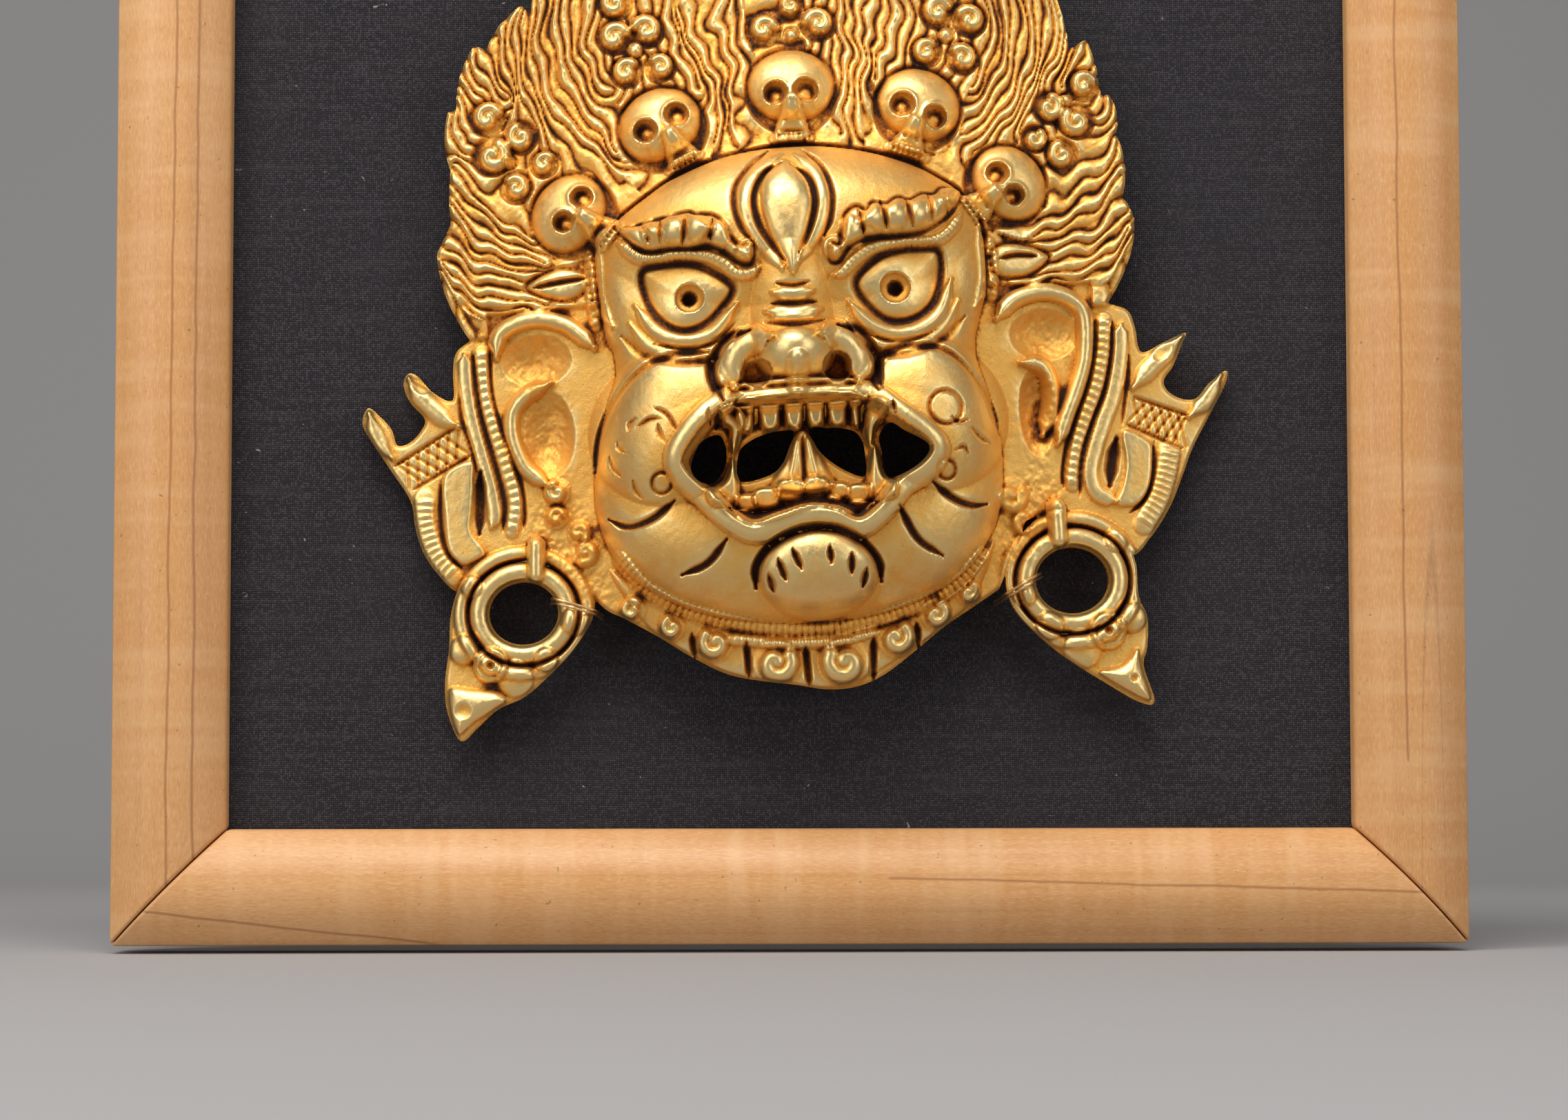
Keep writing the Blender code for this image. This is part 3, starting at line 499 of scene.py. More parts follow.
def smoothLine(points, steps=6, closed=False):
    # Catmull-Rom curve through the points
    points = np.array(points, float)
    count = len(points)
    line = []
    for span in range(count if closed else count - 1):
        if closed:
            a, b, c, d = (points[(span + k) % count] for k in (-1, 0, 1, 2))
        else:
            b, c = points[span], points[span + 1]
            a = points[span - 1] if span else 2 * b - c
            d = points[span + 2] if span + 2 < count else 2 * c - b
        for step in range(steps):
            t = step / steps
            line.append(0.5 * (2 * b + (c - a) * t + (2 * a - 5 * b + 4 * c - d) * t * t
                               + (3 * b - a - 3 * c + d) * t ** 3))
    line.append(points[0] if closed else points[-1])
    return np.array(line)


def nearestOn(line, u, v):
    # distance to a line, how far along it the nearest point is, and on which side
    best = np.full(u.shape, 1e9)
    along = np.zeros(u.shape)
    side = np.zeros(u.shape)
    run = 0.0
    for start, end in zip(line[:-1], line[1:]):
        du, dv = end - start
        length = math.hypot(du, dv)
        if length == 0:
            continue
        offU, offV = u - start[0], v - start[1]
        t = np.clip((offU * du + offV * dv) / length ** 2, 0, 1)
        distance = (offU - t * du) ** 2 + (offV - t * dv) ** 2
        closer = distance < best
        best = np.where(closer, distance, best)
        along = np.where(closer, run + t * length, along)
        side = np.where(closer, du * offV - dv * offU, side)
        run += length
    return np.sqrt(best), along, np.sign(side), run


def insideDepth(line, u, v):
    # distance to a closed outline, positive inside it
    inside = np.zeros(u.shape, bool)
    for (u0, v0), (u1, v1) in zip(line[:-1], line[1:]):
        if v0 != v1:
            crosses = (v0 > v) != (v1 > v)
            inside ^= crosses & (u < u0 + (v - v0) * (u1 - u0) / (v1 - v0))
    return np.where(inside, 1, -1) * nearestOn(line, u, v)[0]


def ellipseLine(centre, radii, steps=48):
    turns = np.linspace(0, 2 * math.pi, steps + 1)
    return np.stack([centre[0] + radii[0] * np.cos(turns), centre[1] + radii[1] * np.sin(turns)], 1)


def blur(values, reach):
    # three box averages, close to a soft round brush
    for _ in range(3):
        for axis in (0, 1):
            edges = [(reach + 1, reach) if k == axis else (0, 0) for k in (0, 1)]
            total = np.cumsum(np.pad(values, edges, "edge"), axis)
            size = values.shape[axis]
            upper = np.take(total, range(2 * reach + 1, 2 * reach + 1 + size), axis)
            values = (upper - np.take(total, range(size), axis)) / (2 * reach + 1)
    return values


def brushed(values, reach, pick):
    # highest or lowest value under a round brush
    result = values.copy()
    for r in range(-reach, reach + 1):
        for c in range(-reach, reach + 1):
            if r * r + c * c <= reach * reach + 1:
                result = pick(result, np.roll(values, (r, c), (0, 1)))
    return result


def grain(shape, pitch, size, seed):
    # smooth random bumps about one size across, between -1 and 1
    random = np.random.default_rng(seed)
    rows, columns = (int(count * pitch / size) + 3 for count in shape)
    knots = random.uniform(-1, 1, (rows, columns))
    r = np.arange(shape[0]) * pitch / size
    c = np.arange(shape[1]) * pitch / size
    ri, ci = r.astype(int), c.astype(int)
    fr, fc = r - ri, c - ci
    fr, fc = (fr * fr * (3 - 2 * fr))[:, None], (fc * fc * (3 - 2 * fc))[None, :]
    low = knots[np.ix_(ri, ci)] * (1 - fc) + knots[np.ix_(ri, ci + 1)] * fc
    high = knots[np.ix_(ri + 1, ci)] * (1 - fc) + knots[np.ix_(ri + 1, ci + 1)] * fc
    return low * (1 - fr) + high * fr


class Relief:
    # a sheet of heights that the carving strokes are worked into

    def __init__(self, pitch):
        self.pitch = pitch
        self.us = np.arange(-mask["half"], mask["half"] + pitch, pitch)
        self.vs = np.arange(mask["bottom"] - 3, mask["top"] + 3 + pitch, pitch)
        self.u, self.v = np.meshgrid(self.us, self.vs)
        self.height = np.zeros(self.u.shape)
        self.rough = np.zeros(self.u.shape)
        self.stain = np.zeros(self.u.shape)

    def window(self, points, reach):
        low = np.min(points, 0) - reach
        high = np.max(points, 0) + reach
        columns = slice(*np.searchsorted(self.us, (low[0], high[0])))
        rows = slice(*np.searchsorted(self.vs, (low[1], high[1])))
        return (rows, columns), self.u[rows, columns], self.v[rows, columns]

    def ridge(self, points, width, rise, power=1.0, ribs=0, ribDepth=0, taper=0, closed=False, stain=0):
        # a roll along a line; the power squares its shoulders below 1 and softens them above
        line = smoothLine(points, closed=closed)
        place, u, v = self.window(line, width)
        distance, along, _, length = nearestOn(line, u, v)
        if taper:
            width = width * np.clip(np.minimum(along, length - along) / taper, 0.2, 1) ** 0.7
        profile = np.clip(1 - (distance / width) ** 2, 0, 1) ** power
        if ribs:
            count = max(1, round(length / ribs))
            rib = np.abs(np.sin(math.pi * along / length * count)) ** 0.6
            profile = profile * (1 - ribDepth * (1 - rib))
        self.height[place] += rise * profile
        if stain:
            self.stain[place] = np.maximum(self.stain[place], stain * profile)

    def groove(self, points, width, depth, taper=1.2, closed=False, stain=0.22):
        self.ridge(points, width, -depth, 1.3, taper=taper, closed=closed, stain=stain)

    def tarnish(self, centre, radius, amount):
        # a brown spot that fades from half its radius outward
        place, u, v = self.window([centre], radius)
        share = np.clip(2 - 2 * np.hypot(u - centre[0], v - centre[1]) / radius, 0, 1)
        self.stain[place] = np.maximum(self.stain[place], amount * share)

    def dome(self, centre, radii, rise, turn=0.0, power=0.5):
        # an oval swelling; a negative rise bores a hollow
        place, u, v = self.window([centre], max(radii))
        across = (u - centre[0]) * math.cos(turn) + (v - centre[1]) * math.sin(turn)
        upward = (v - centre[1]) * math.cos(turn) - (u - centre[0]) * math.sin(turn)
        reach = (across / radii[0]) ** 2 + (upward / radii[1]) ** 2
        self.height[place] += rise * np.clip(1 - reach, 0, 1) ** power

    def plateau(self, outline, rise, shoulder):
        # a form with rounded shoulders inside an outline; a negative rise sinks it
        line = smoothLine(outline, closed=True)
        place, u, v = self.window(line, 0.5)
        depth = np.clip(insideDepth(line, u, v) / shoulder, 0, 1)
        self.height[place] += rise * np.sqrt(1 - (1 - depth) ** 2)

    def curl(self, u, v, radius, turns, start, hand, rise):
        # a low boss with a hook of metal wound up on it
        self.dome((u, v), (radius, radius), 0.4 * rise, power=0.4)
        spiral = []
        for step in range(15):
            t = step / 14
            angle = start + hand * 2 * math.pi * turns * t
            reach = radius * (0.68 - 0.60 * t ** 1.2)
            spiral.append((u + reach * math.cos(angle), v + reach * math.sin(angle)))
        self.ridge(spiral, 0.36 * radius, 0.9 * rise, 0.6)

    def bar(self, points, width, rise):
        # a round bar lying over whatever is beneath it
        line = smoothLine(points)
        place, u, v = self.window(line, width)
        distance = nearestOn(line, u, v)[0]
        level = np.median(self.height[place][distance < width])
        profile = np.sqrt(np.clip(1 - (distance / width) ** 2, 0, 1))
        raised = np.maximum(self.height[place], level + rise * profile)
        self.height[place] = np.where(distance < width, raised, self.height[place])

    def roughen(self, outline, edge=1.5):
        # marks cast ground that was never polished
        line = smoothLine(outline, 4, closed=True)
        place, u, v = self.window(line, edge)
        share = np.clip(insideDepth(line, u, v) / edge + 0.5, 0, 1)
        self.rough[place] = np.maximum(self.rough[place], share)

    def at(self, values, u, v):
        # value between the grid's points
        column = np.clip((np.asarray(u) - self.us[0]) / self.pitch, 0, len(self.us) - 1.001)
        row = np.clip((np.asarray(v) - self.vs[0]) / self.pitch, 0, len(self.vs) - 1.001)
        c, r = column.astype(int), row.astype(int)
        fc, fr = column - c, row - r
        upper = values[r + 1, c] * (1 - fc) + values[r + 1, c + 1] * fc
        return (values[r, c] * (1 - fc) + values[r, c + 1] * fc) * (1 - fr) + upper * fr


# Outline of the casting

# each lock of hair: where its outer edge starts, how it swells, and its tip
leftLocks = [((-65.5, -4), (-70.6, 6), (-72.2, 15.5)),
             ((-69, 21.5), (-69, 27), (-68.6, 31.5)),
             ((-68.4, 32.5), (-69.4, 38.5), (-68.4, 44.8)),
             ((-66.6, 45.2), (-65.6, 52), (-62.4, 58.2)),
             ((-59.6, 57.6), (-57, 62), (-52.2, 66.2)),
             ((-50.2, 64.2), (-48.8, 70), (-45.2, 77)),
             ((-43.2, 74.6), (-40.6, 81.5), (-36, 87.6)),
             ((-34, 85), (-30.4, 91.5), (-25.4, 96.8)),
             ((-23.4, 94.2), (-18.6, 100.4), (-12.6, 104.6)),
             ((-10.8, 102), (-6.6, 107.6), (-0.5, 112.5))]
rightLocks = [((66, -2), (71, 7), (72.6, 15.5)),
              ((70.5, 20), (71.3, 26), (70.4, 31.6)),
              ((69.8, 32.6), (70.3, 37), (69.2, 41.2)),
              ((67.2, 41.4), (66.4, 48), (64.8, 53.2)),
              ((61, 51.2), (60.4, 57), (58.2, 65)),
              ((56, 63), (54.2, 70), (50, 76.6)),
              ((48, 74), (45, 81), (40, 87)),
              ((38, 84.4), (34, 91), (28.6, 96)),
              ((26.6, 93.4), (21.4, 99.6), (15, 104)),
              ((13, 101.4), (7.4, 107.4), (0.5, 112.5))]
beardEdge = [(39.6, -60.2), (34, -63.6), (28, -67.2), (22, -71.6), (15, -76.4), (9, -78.6), (3, -78.8),
             (-3, -77.6), (-10, -76.4), (-17, -74.6), (-24, -70.8), (-31, -66), (-37.5, -62),
             (-41.6, -59.6), (-46, -54), (-55, -40)]
leftSide = [(-63, 0), (-66, -2.5), (-69.3, -5), (-70.2, -9), (-70.6, -14.8), (-74.5, -13), (-77.5, -9.4),
            (-79.6, -8.7), (-80.6, -11), (-79.4, -14.6), (-76.6, -18.2), (-77.4, -20.6), (-80, -23),
            (-82.6, -23.3), (-83.6, -20), (-86, -17), (-88.3, -15.2), (-89.6, -18.4), (-87.6, -22.6),
            (-84.2, -28.4), (-80.4, -35), (-79.6, -41), (-78.2, -46), (-75.4, -50.6), (-71.4, -54.4),
            (-66, -52), (-58, -46), (-50, -46), (-43, -50), (-40, -40), (-40, 0)]
rightSide = [(62, 1), (66, -2), (70, -3.6), (71.4, -7), (72.4, -12.4), (77, -10.8), (82, -8.8),
             (81.2, -11), (79, -15.6), (76.9, -18.4), (77.4, -20.6), (80, -22.4), (83.4, -22.6),
             (86.6, -19.4), (90.2, -17), (90, -19.6), (86.2, -26), (82, -33), (79.6, -38.4), (76.4, -45),
             (72, -51), (67.4, -54.6), (60, -50), (52, -45), (45, -47), (41, -50), (40, -40), (40, 0)]
leftRing = (-58.2, -59.7)
rightRing = (54.9, -59.2)
leftRingHole = (7.1, 6.4)
rightRingHole = (7.6, 6.8)
leftPendant = [(-73, -58), (-74, -66), (-75.2, -73), (-75, -79), (-72.6, -85), (-69, -82.6), (-64.5, -79),
               (-59, -76.8), (-54, -73), (-49, -68.4), (-45.6, -64), (-43.8, -60.4), (-43.4, -54),
               (-47, -47), (-54, -44.5), (-62, -46), (-69.6, -51)]
rightPendant = [(68.2, -56), (68.4, -62.6), (70.2, -67.6), (69.8, -73.6), (68.8, -77.6), (70.6, -85),
                (67.2, -84.8), (60.6, -80.6), (52.6, -75), (46.4, -69.4), (42.2, -64), (41, -58),
                (43.4, -51), (50, -45.2), (58, -44.8), (65, -49)]
mouthHoles = [[(-21.5, -30.2), (-19.6, -27.6), (-16.4, -26.6), (-15.2, -28.6), (-15, -31), (-15.7, -33.6),
               (-18, -36.2), (-21, -36), (-22.4, -33.4)],
              [(-12.6, -30.6), (-10.4, -28.2), (-6, -26.6), (-1.2, -26.6), (-2.4, -30.2), (-4, -33.4),
               (-7, -35.4), (-12.6, -36)],
              [(2, -26.4), (6, -26.2), (10.6, -26.9), (12.4, -28.6), (13, -31), (12.9, -36.2),
               (9.4, -35.4), (5.6, -32.8), (3.2, -30)],
              [(18, -26.2), (21, -28), (25.6, -31.2), (24.6, -34), (21, -36.4), (18, -36.8),
               (16.8, -34.6), (16.4, -31.6), (16, -28.6)]]


def lockEdge(locks):
    # a swelling edge up to each tip, then a straight drop into the next notch
    edge = []
    for start, swell, tip in locks:
        for step in range(8):
            t = step / 7
            edge.append([(1 - t) ** 2 * a + 2 * t * (1 - t) * (2 * b - (a + c) / 2) + t * t * c
                         for a, b, c in zip(start, swell, tip)])
    return edge


def castingDepth(u, v):
    # how far inside the casting's outline a place lies, holes taken out
    head = lockEdge(leftLocks) + lockEdge(rightLocks)[::-1] + smoothLine(beardEdge, 4).tolist()
    head = np.array(head + head[:1])
    depth = insideDepth(head, u, v)
    for outline in (leftSide, rightSide, leftPendant, rightPendant):
        depth = np.maximum(depth, insideDepth(smoothLine(outline, 6, closed=True), u, v))
    for centre, radii in ((leftRing, leftRingHole), (rightRing, rightRingHole)):
        depth = np.minimum(depth, -insideDepth(ellipseLine(centre, radii), u, v))
    for hole in mouthHoles:
        depth = np.minimum(depth, -insideDepth(smoothLine(hole, 6, closed=True), u, v))
    return depth


# Broad forms of the carving

faceOutline = [(-39.5, 14), (-35.5, 18.5), (-28.5, 23.5), (-22, 27.3), (-11, 31), (2, 32.3), (14, 31.2),
               (25, 28.2), (32, 24.5), (36.5, 21), (40, 14), (40.3, 2), (38.8, -4), (37.4, -9),
               (37.6, -14), (39.8, -22), (41.6, -31), (41.3, -40), (39, -48), (33, -56), (24, -61.3),
               (14, -64.2), (3, -65.2), (-8, -64.7), (-20, -62.5), (-31, -57.5), (-38.5, -50.5),
               (-41.8, -42), (-42, -33), (-40.6, -25), (-38.4, -18), (-36.6, -13), (-36.8, -8),
               (-38.4, -3.5)]
faceSwell = (9.6, 14)     # how far the face stands out, and how wide its shoulder is
# swellings and hollows of the face: centre, radii, rise, softness
faceForms = {
    "forehead": ((0, 16), (40, 18), 4.2, 1.1),
    "left socket": ((-22.5, 5), (13, 10), -1.8, 1.5),
    "right socket": ((22.5, 5), (13, 10), -1.8, 1.5),
    "muzzle": ((0, -44), (46, 27), 3.2, 1),
    "left cheek": ((-27.5, -25), (15.5, 15.5), 5.4, 0.8),
    "right cheek": ((28.5, -25), (15, 15.5), 5.4, 0.8),
    "left jowl": ((-24, -50), (15, 11), 1.6, 1),
    "right jowl": ((27, -49), (14, 11), 1.6, 1),
}
# ground left granular, as cast
castGround = [[(-48, -4), (-55, -3), (-59, -9), (-57, -14), (-50, -12), (-46.5, -8)],
              [(-53, -14), (-56.4, -20), (-54, -28), (-50, -33), (-47, -26), (-47.6, -17)],
              [(-56, -41), (-49, -37), (-43.6, -41), (-41.6, -50), (-40.4, -58), (-47, -57), (-51, -50)],
              [(47, -4), (54, -3.4), (59, -9), (56.4, -14), (49.6, -12), (45.6, -8)],
              [(51.4, -16), (53.6, -22), (52.4, -32), (48.4, -36), (46.4, -26), (47.4, -18)],
              [(54, -39), (48.6, -36), (42.6, -39), (40.4, -48), (41, -55), (47, -53), (51, -46)]]


def carveGround(relief):
    # the whole casting bellies out from its rim and leans back towards the peak of the hair
    u, v = relief.u, relief.v
    relief.height += 3.4 + 8 * np.clip(1 - (u / 90) ** 2, 0, 1) - 3.5 * np.clip(v / 110, 0, 1) ** 2
    relief.dome((0, -2), (64, 76), 8, power=2)


def carveFaceForms(relief):
    relief.plateau(faceOutline, *faceSwell)
    for centre, radii, rise, power in faceForms.values():
        relief.dome(centre, radii, rise, power=power)
    for outline in castGround:
        relief.roughen(outline)


# Hair: strands follow these guides, from the parting out to each ear

leftGuides = [[(-5, 54), (-6, 62), (-6, 75), (-4, 95), (-0.5, 112)],
              [(-9, 34), (-9.5, 42), (-8.5, 50), (-10, 58), (-9, 66), (-9, 80), (-6, 100)],
              [(-14, 34), (-13, 42), (-14.5, 50), (-18.5, 58), (-19.5, 66), (-18, 80), (-14, 98)],
              [(-16, 46), (-18, 52), (-20.5, 58), (-21, 66), (-23, 80), (-20, 96)],
              [(-35, 47), (-38, 54), (-38, 62), (-36, 70), (-33, 80), (-27, 94)],
              [(-34, 34), (-37, 41), (-42, 49), (-44, 57), (-44, 66), (-41, 76), (-36, 87)],
              [(-33, 28), (-38, 33), (-44, 40), (-49, 48), (-50, 57), (-49, 66), (-46, 76)],
              [(-48, 34), (-52, 44), (-54, 52), (-54, 60), (-52.3, 66)],
              [(-56, 47), (-59, 50), (-61, 54), (-62, 58)],
              [(-62, 36), (-66, 36), (-67.5, 40), (-68, 44.5)],
              [(-52, 17), (-58, 22), (-64, 27), (-67.5, 33)],
              [(-50, 12), (-57, 15), (-64, 19), (-68.5, 25)],
              [(-48, 9), (-56, 10), (-64, 12), (-70, 17)],
              [(-50, 4), (-58, 5), (-65, 7), (-70.5, 13)],
              [(-55, 2.5), (-62, 1), (-67, 3), (-71.5, 11)]]
rightGuides = [[(6, 54), (5, 62), (6, 75), (4, 95), (0.5, 112)],
               [(12, 35), (12.4, 42), (13.5, 50), (12.6, 58), (13.6, 66), (13, 80), (8, 100)],
               [(17, 35), (17, 42), (18.5, 50), (18, 58), (19.4, 66), (20, 80), (15, 98)],
               [(20, 46), (21.4, 52), (23.4, 58), (24, 66), (25, 80), (21, 96)],
               [(40, 44), (44, 52), (44, 60), (42, 68), (37, 80), (29, 94)],
               [(38, 35), (43, 41), (48, 49), (49, 58), (47.6, 67), (44, 77), (39, 86)],
               [(40, 30), (46, 36), (51, 43), (54, 50), (54.4, 58), (53.4, 66), (49, 75)],
               [(50, 34), (54, 43), (58, 50), (59.4, 56), (58.2, 64)],
               [(60, 44), (62, 47), (64, 50), (64.6, 53)],
               [(64, 35), (67, 35), (68.6, 37.6), (69.2, 41)],
               [(54, 18), (60, 21), (66, 25), (70, 31)],
               [(51, 12), (58, 14.6), (65, 18.6), (70.3, 24)],
               [(50, 9), (57, 9.6), (65, 12), (71, 17)],
               [(50, 4), (58, 4.6), (65, 7), (71, 13)],
               [(55, 2.5), (62, 1), (67, 3), (72, 11)]]
hair = {
    "spacing": 2.05,
    "ridge": 1.55,
    "lockRise": 1.6,
    "waver": 0.30,
    "wave": 0.24,
    "waveLength": 9.0,
    "ground": 0.7,
    "stain": 0.40,
    "rough": 0.3,
}


def combing(guides, u, v, outward):
    # counts strands and guides outward from the first guide
    distances = []
    sides = []
    strandCounts = [0.0]
    lines = [smoothLine(guide, 4) for guide in guides]
    for line, following in zip(lines, lines[1:] + [lines[-1]]):
        distance, _, side, _ = nearestOn(line, u, v)
        distances.append(distance)
        sides.append(side * outward)
        apart = nearestOn(following, line[:, 0], line[:, 1])[0].mean()
        strandCounts.append(strandCounts[-1] + max(1, round(apart / hair["spacing"])))
    distances = np.array(distances)
    sides = np.array(sides)
    nearest = np.argmin(distances, 0)
    rows, columns = np.indices(u.shape)
    gapTo = distances[nearest, rows, columns]
    side = sides[nearest, rows, columns]
    neighbour = np.clip(nearest + np.where(side > 0, 1, -1), 0, len(guides) - 1)
    other = distances[neighbour, rows, columns]
    share = gapTo / np.maximum(gapTo + other, 0.001)
    place = nearest + np.where(side > 0, share, -share)
    strandCounts[-1] = strandCounts[-2] + 2
    return place, np.interp(place, range(-1, len(strandCounts)), [-2.0] + strandCounts)


def hairShare(u, v):
    # one where hair is combed, nothing where skulls, curls, ears or the face lie on it
    free = np.where(np.abs(u) < 62.5, v - 1.8, v + 3)
    for centre, radius, *_ in skulls:
        free = np.minimum(free, np.hypot(u - centre[0], v - centre[1]) - radius)
    for a, b, radius, *_ in curls + beads:
        free = np.minimum(free, np.hypot(u - a, v - b) - radius + 0.3)
    for outline in [faceOutline] + [leaf for leaf, _ in leaves]:
        free = np.minimum(free, -insideDepth(smoothLine(outline, 4, closed=True), u, v))
    return np.clip(free / 0.8, 0, 1)


def carveHair(relief):
    u, v = relief.u, relief.v
    free = hairShare(u, v)
    for guides, outward, half in ((leftGuides, 1, u < 0.2), (rightGuides, -1, u >= 0.2)):
        place, strand = combing(guides, u, v, outward)
        waver = grain(u.shape, relief.pitch, 6.0, 5) + 0.4 * grain(u.shape, relief.pitch, 2.4, 6)
        reach = np.hypot(u, v - 8)
        strand = strand + hair["waver"] * waver
        drift = 2.4 * place + 2.5 * grain(u.shape, relief.pitch, 14.0, 7)
        strand = strand + hair["wave"] * np.sin(2 * math.pi * reach / hair["waveLength"] + drift)
        across = np.abs(np.sin(math.pi * strand)) ** 0.8
        across = across * (0.8 + 0.2 * np.sin(91.7 * np.floor(strand)))      # no two strands alike
        whole = 0.55 + 0.45 * np.sin(math.pi * np.mod(place + 0.5, 1)) ** 0.6
        combed = hair["ridge"] * across + hair["lockRise"] * whole
        relief.height += np.where(half, free * (combed - hair["ground"]), 0)
        relief.stain += np.where(half, hair["stain"] * free * np.clip(1 - 1.5 * across, 0, 1), 0)
        relief.rough = np.maximum(relief.rough, np.where(half, hair["rough"] * free, 0))


# Crown of skulls

# each skull: centre, radius, lean of its jaw, sockets with their radii, snout line, teeth line
skulls = [((2.6, 44.2), 9.1, 0, ((-0.8, 43.4, 2.5), (5.4, 43.6, 2.7)), ((2.4, 42.6), (2.2, 36.6)),
           ((-1.6, 33.9), (5.6, 33.9))),
          ((-24.3, 37.9), 8.9, 26, ((-27.8, 37.2, 2.5), (-21.3, 40.2, 2.6)), ((-23.4, 37), (-20.6, 31.8)),
           ((-23.4, 28.8), (-17.2, 31.6))),
          ((-43.6, 21.2), 8.6, 50, ((-45.6, 19.6, 2.2), (-41.6, 24.4, 2.4)), ((-42.4, 21), (-37.8, 17.4)),
           ((-37.9, 13.6), (-34.4, 17.6))),
          ((28.4, 39.4), 8.9, -22, ((25.2, 40, 2.6), (31.8, 37.2, 2.5)), ((28, 37), (26, 31.8)),
           ((21.8, 31.4), (29.2, 28.8))),
          ((45.8, 22.8), 8.5, -51, ((44.0, 25, 2.4), (47.2, 20.4, 2.2)), ((44, 21.6), (39.8, 18.4)),
           ((36.6, 19.6), (40.4, 14.4)))]


def carveSkulls(relief):
    for (u, v), radius, lean, sockets, snout, teeth in skulls:
        turn = math.radians(lean)
        across = np.array((math.cos(turn), math.sin(turn)))
        top, low = np.array(snout[0]), np.array(snout[1])
        down = (low - top) / np.hypot(*(low - top))
        relief.dome((u, v) - 1.1 * down, (radius, 0.86 * radius), 5.0, turn, 0.6)
        relief.dome(top * 0.5 + low * 0.5, (0.62 * radius, 0.5 * radius), 1.2, turn, 1.0)
        middle, foot = (top + low) / 2, low + 1.8 * down
        right = [top + 1.3 * across, middle + 2.2 * across, low + 3.4 * across, foot + 3.0 * across]
        left = [foot - 3.0 * across, low - 3.4 * across, middle - 2.2 * across, top - 1.3 * across]
        relief.plateau(right + left, 3.4, 1.7)
        relief.ridge(teeth, 1.2, 2.2, 0.4, ribs=1.1, ribDepth=0.5)
        for a, b, size in sockets:
            relief.dome((a, b), (size + 1.0, size + 1.0), 1.0, power=0.8)
            relief.dome((a, b), (size, size), -3.6, power=0.5)
            relief.dome((a, b) + 0.5 * down, (0.5 * size, 0.5 * size), 1.1, power=0.7)
            relief.tarnish((a, b), 0.8 * size, 0.22)
        for hand in (-1, 1):
            relief.dome(top * 0.25 + low * 0.75 + hand * 1.2 * across, (0.6, 0.8), -0.6, turn, power=0.6)


# Third eye on the forehead

eyeThree = {
    "lens": [(-0.2, 28.4), (-4.2, 24.6), (-5.4, 19.4), (-4.4, 13.6), (-2.2, 8), (0.2, 3.6), (2.2, 8),
             (4, 13.6), (4.9, 19.2), (3.6, 24.2)],
    "ridges": [[(-0.5, 29.6), (-5.5, 26.4), (-8.4, 21), (-8, 15), (-5, 9.6), (-2, 5)],
               [(2, 29.4), (5.6, 26), (7, 20.4), (6.2, 14.6), (3.4, 9.4), (1.4, 6)]],
    "grooves": [[(-0.5, 27.5), (-4.5, 25), (-6.8, 20), (-6, 14), (-3, 9), (-1.2, 6.5)],
                [(1, 27), (4.5, 23.5), (5.5, 18.5), (4, 13), (1.5, 8)],
                [(-3, 31), (-7, 27.4), (-10.2, 23), (-10.8, 18.4), (-9.6, 14), (-7.6, 11)],
                [(4, 30.6), (7.4, 26), (9, 20.4), (8.4, 15), (6.8, 11.4)]],
}


def carveThirdEye(relief):
    relief.plateau(eyeThree["lens"], 2.8, 4.2)
    for line in eyeThree["ridges"]:
        relief.ridge(line, 1.5, 1.0, 0.8, taper=3)
    for line in eyeThree["grooves"]:
        relief.groove(line, 0.8, 1.3, taper=3, stain=0.2)


# Brows: each an outline, the slits that cut it into tufts, the tufts with their turn, the curl at its
# inner end and the ribbed band beneath

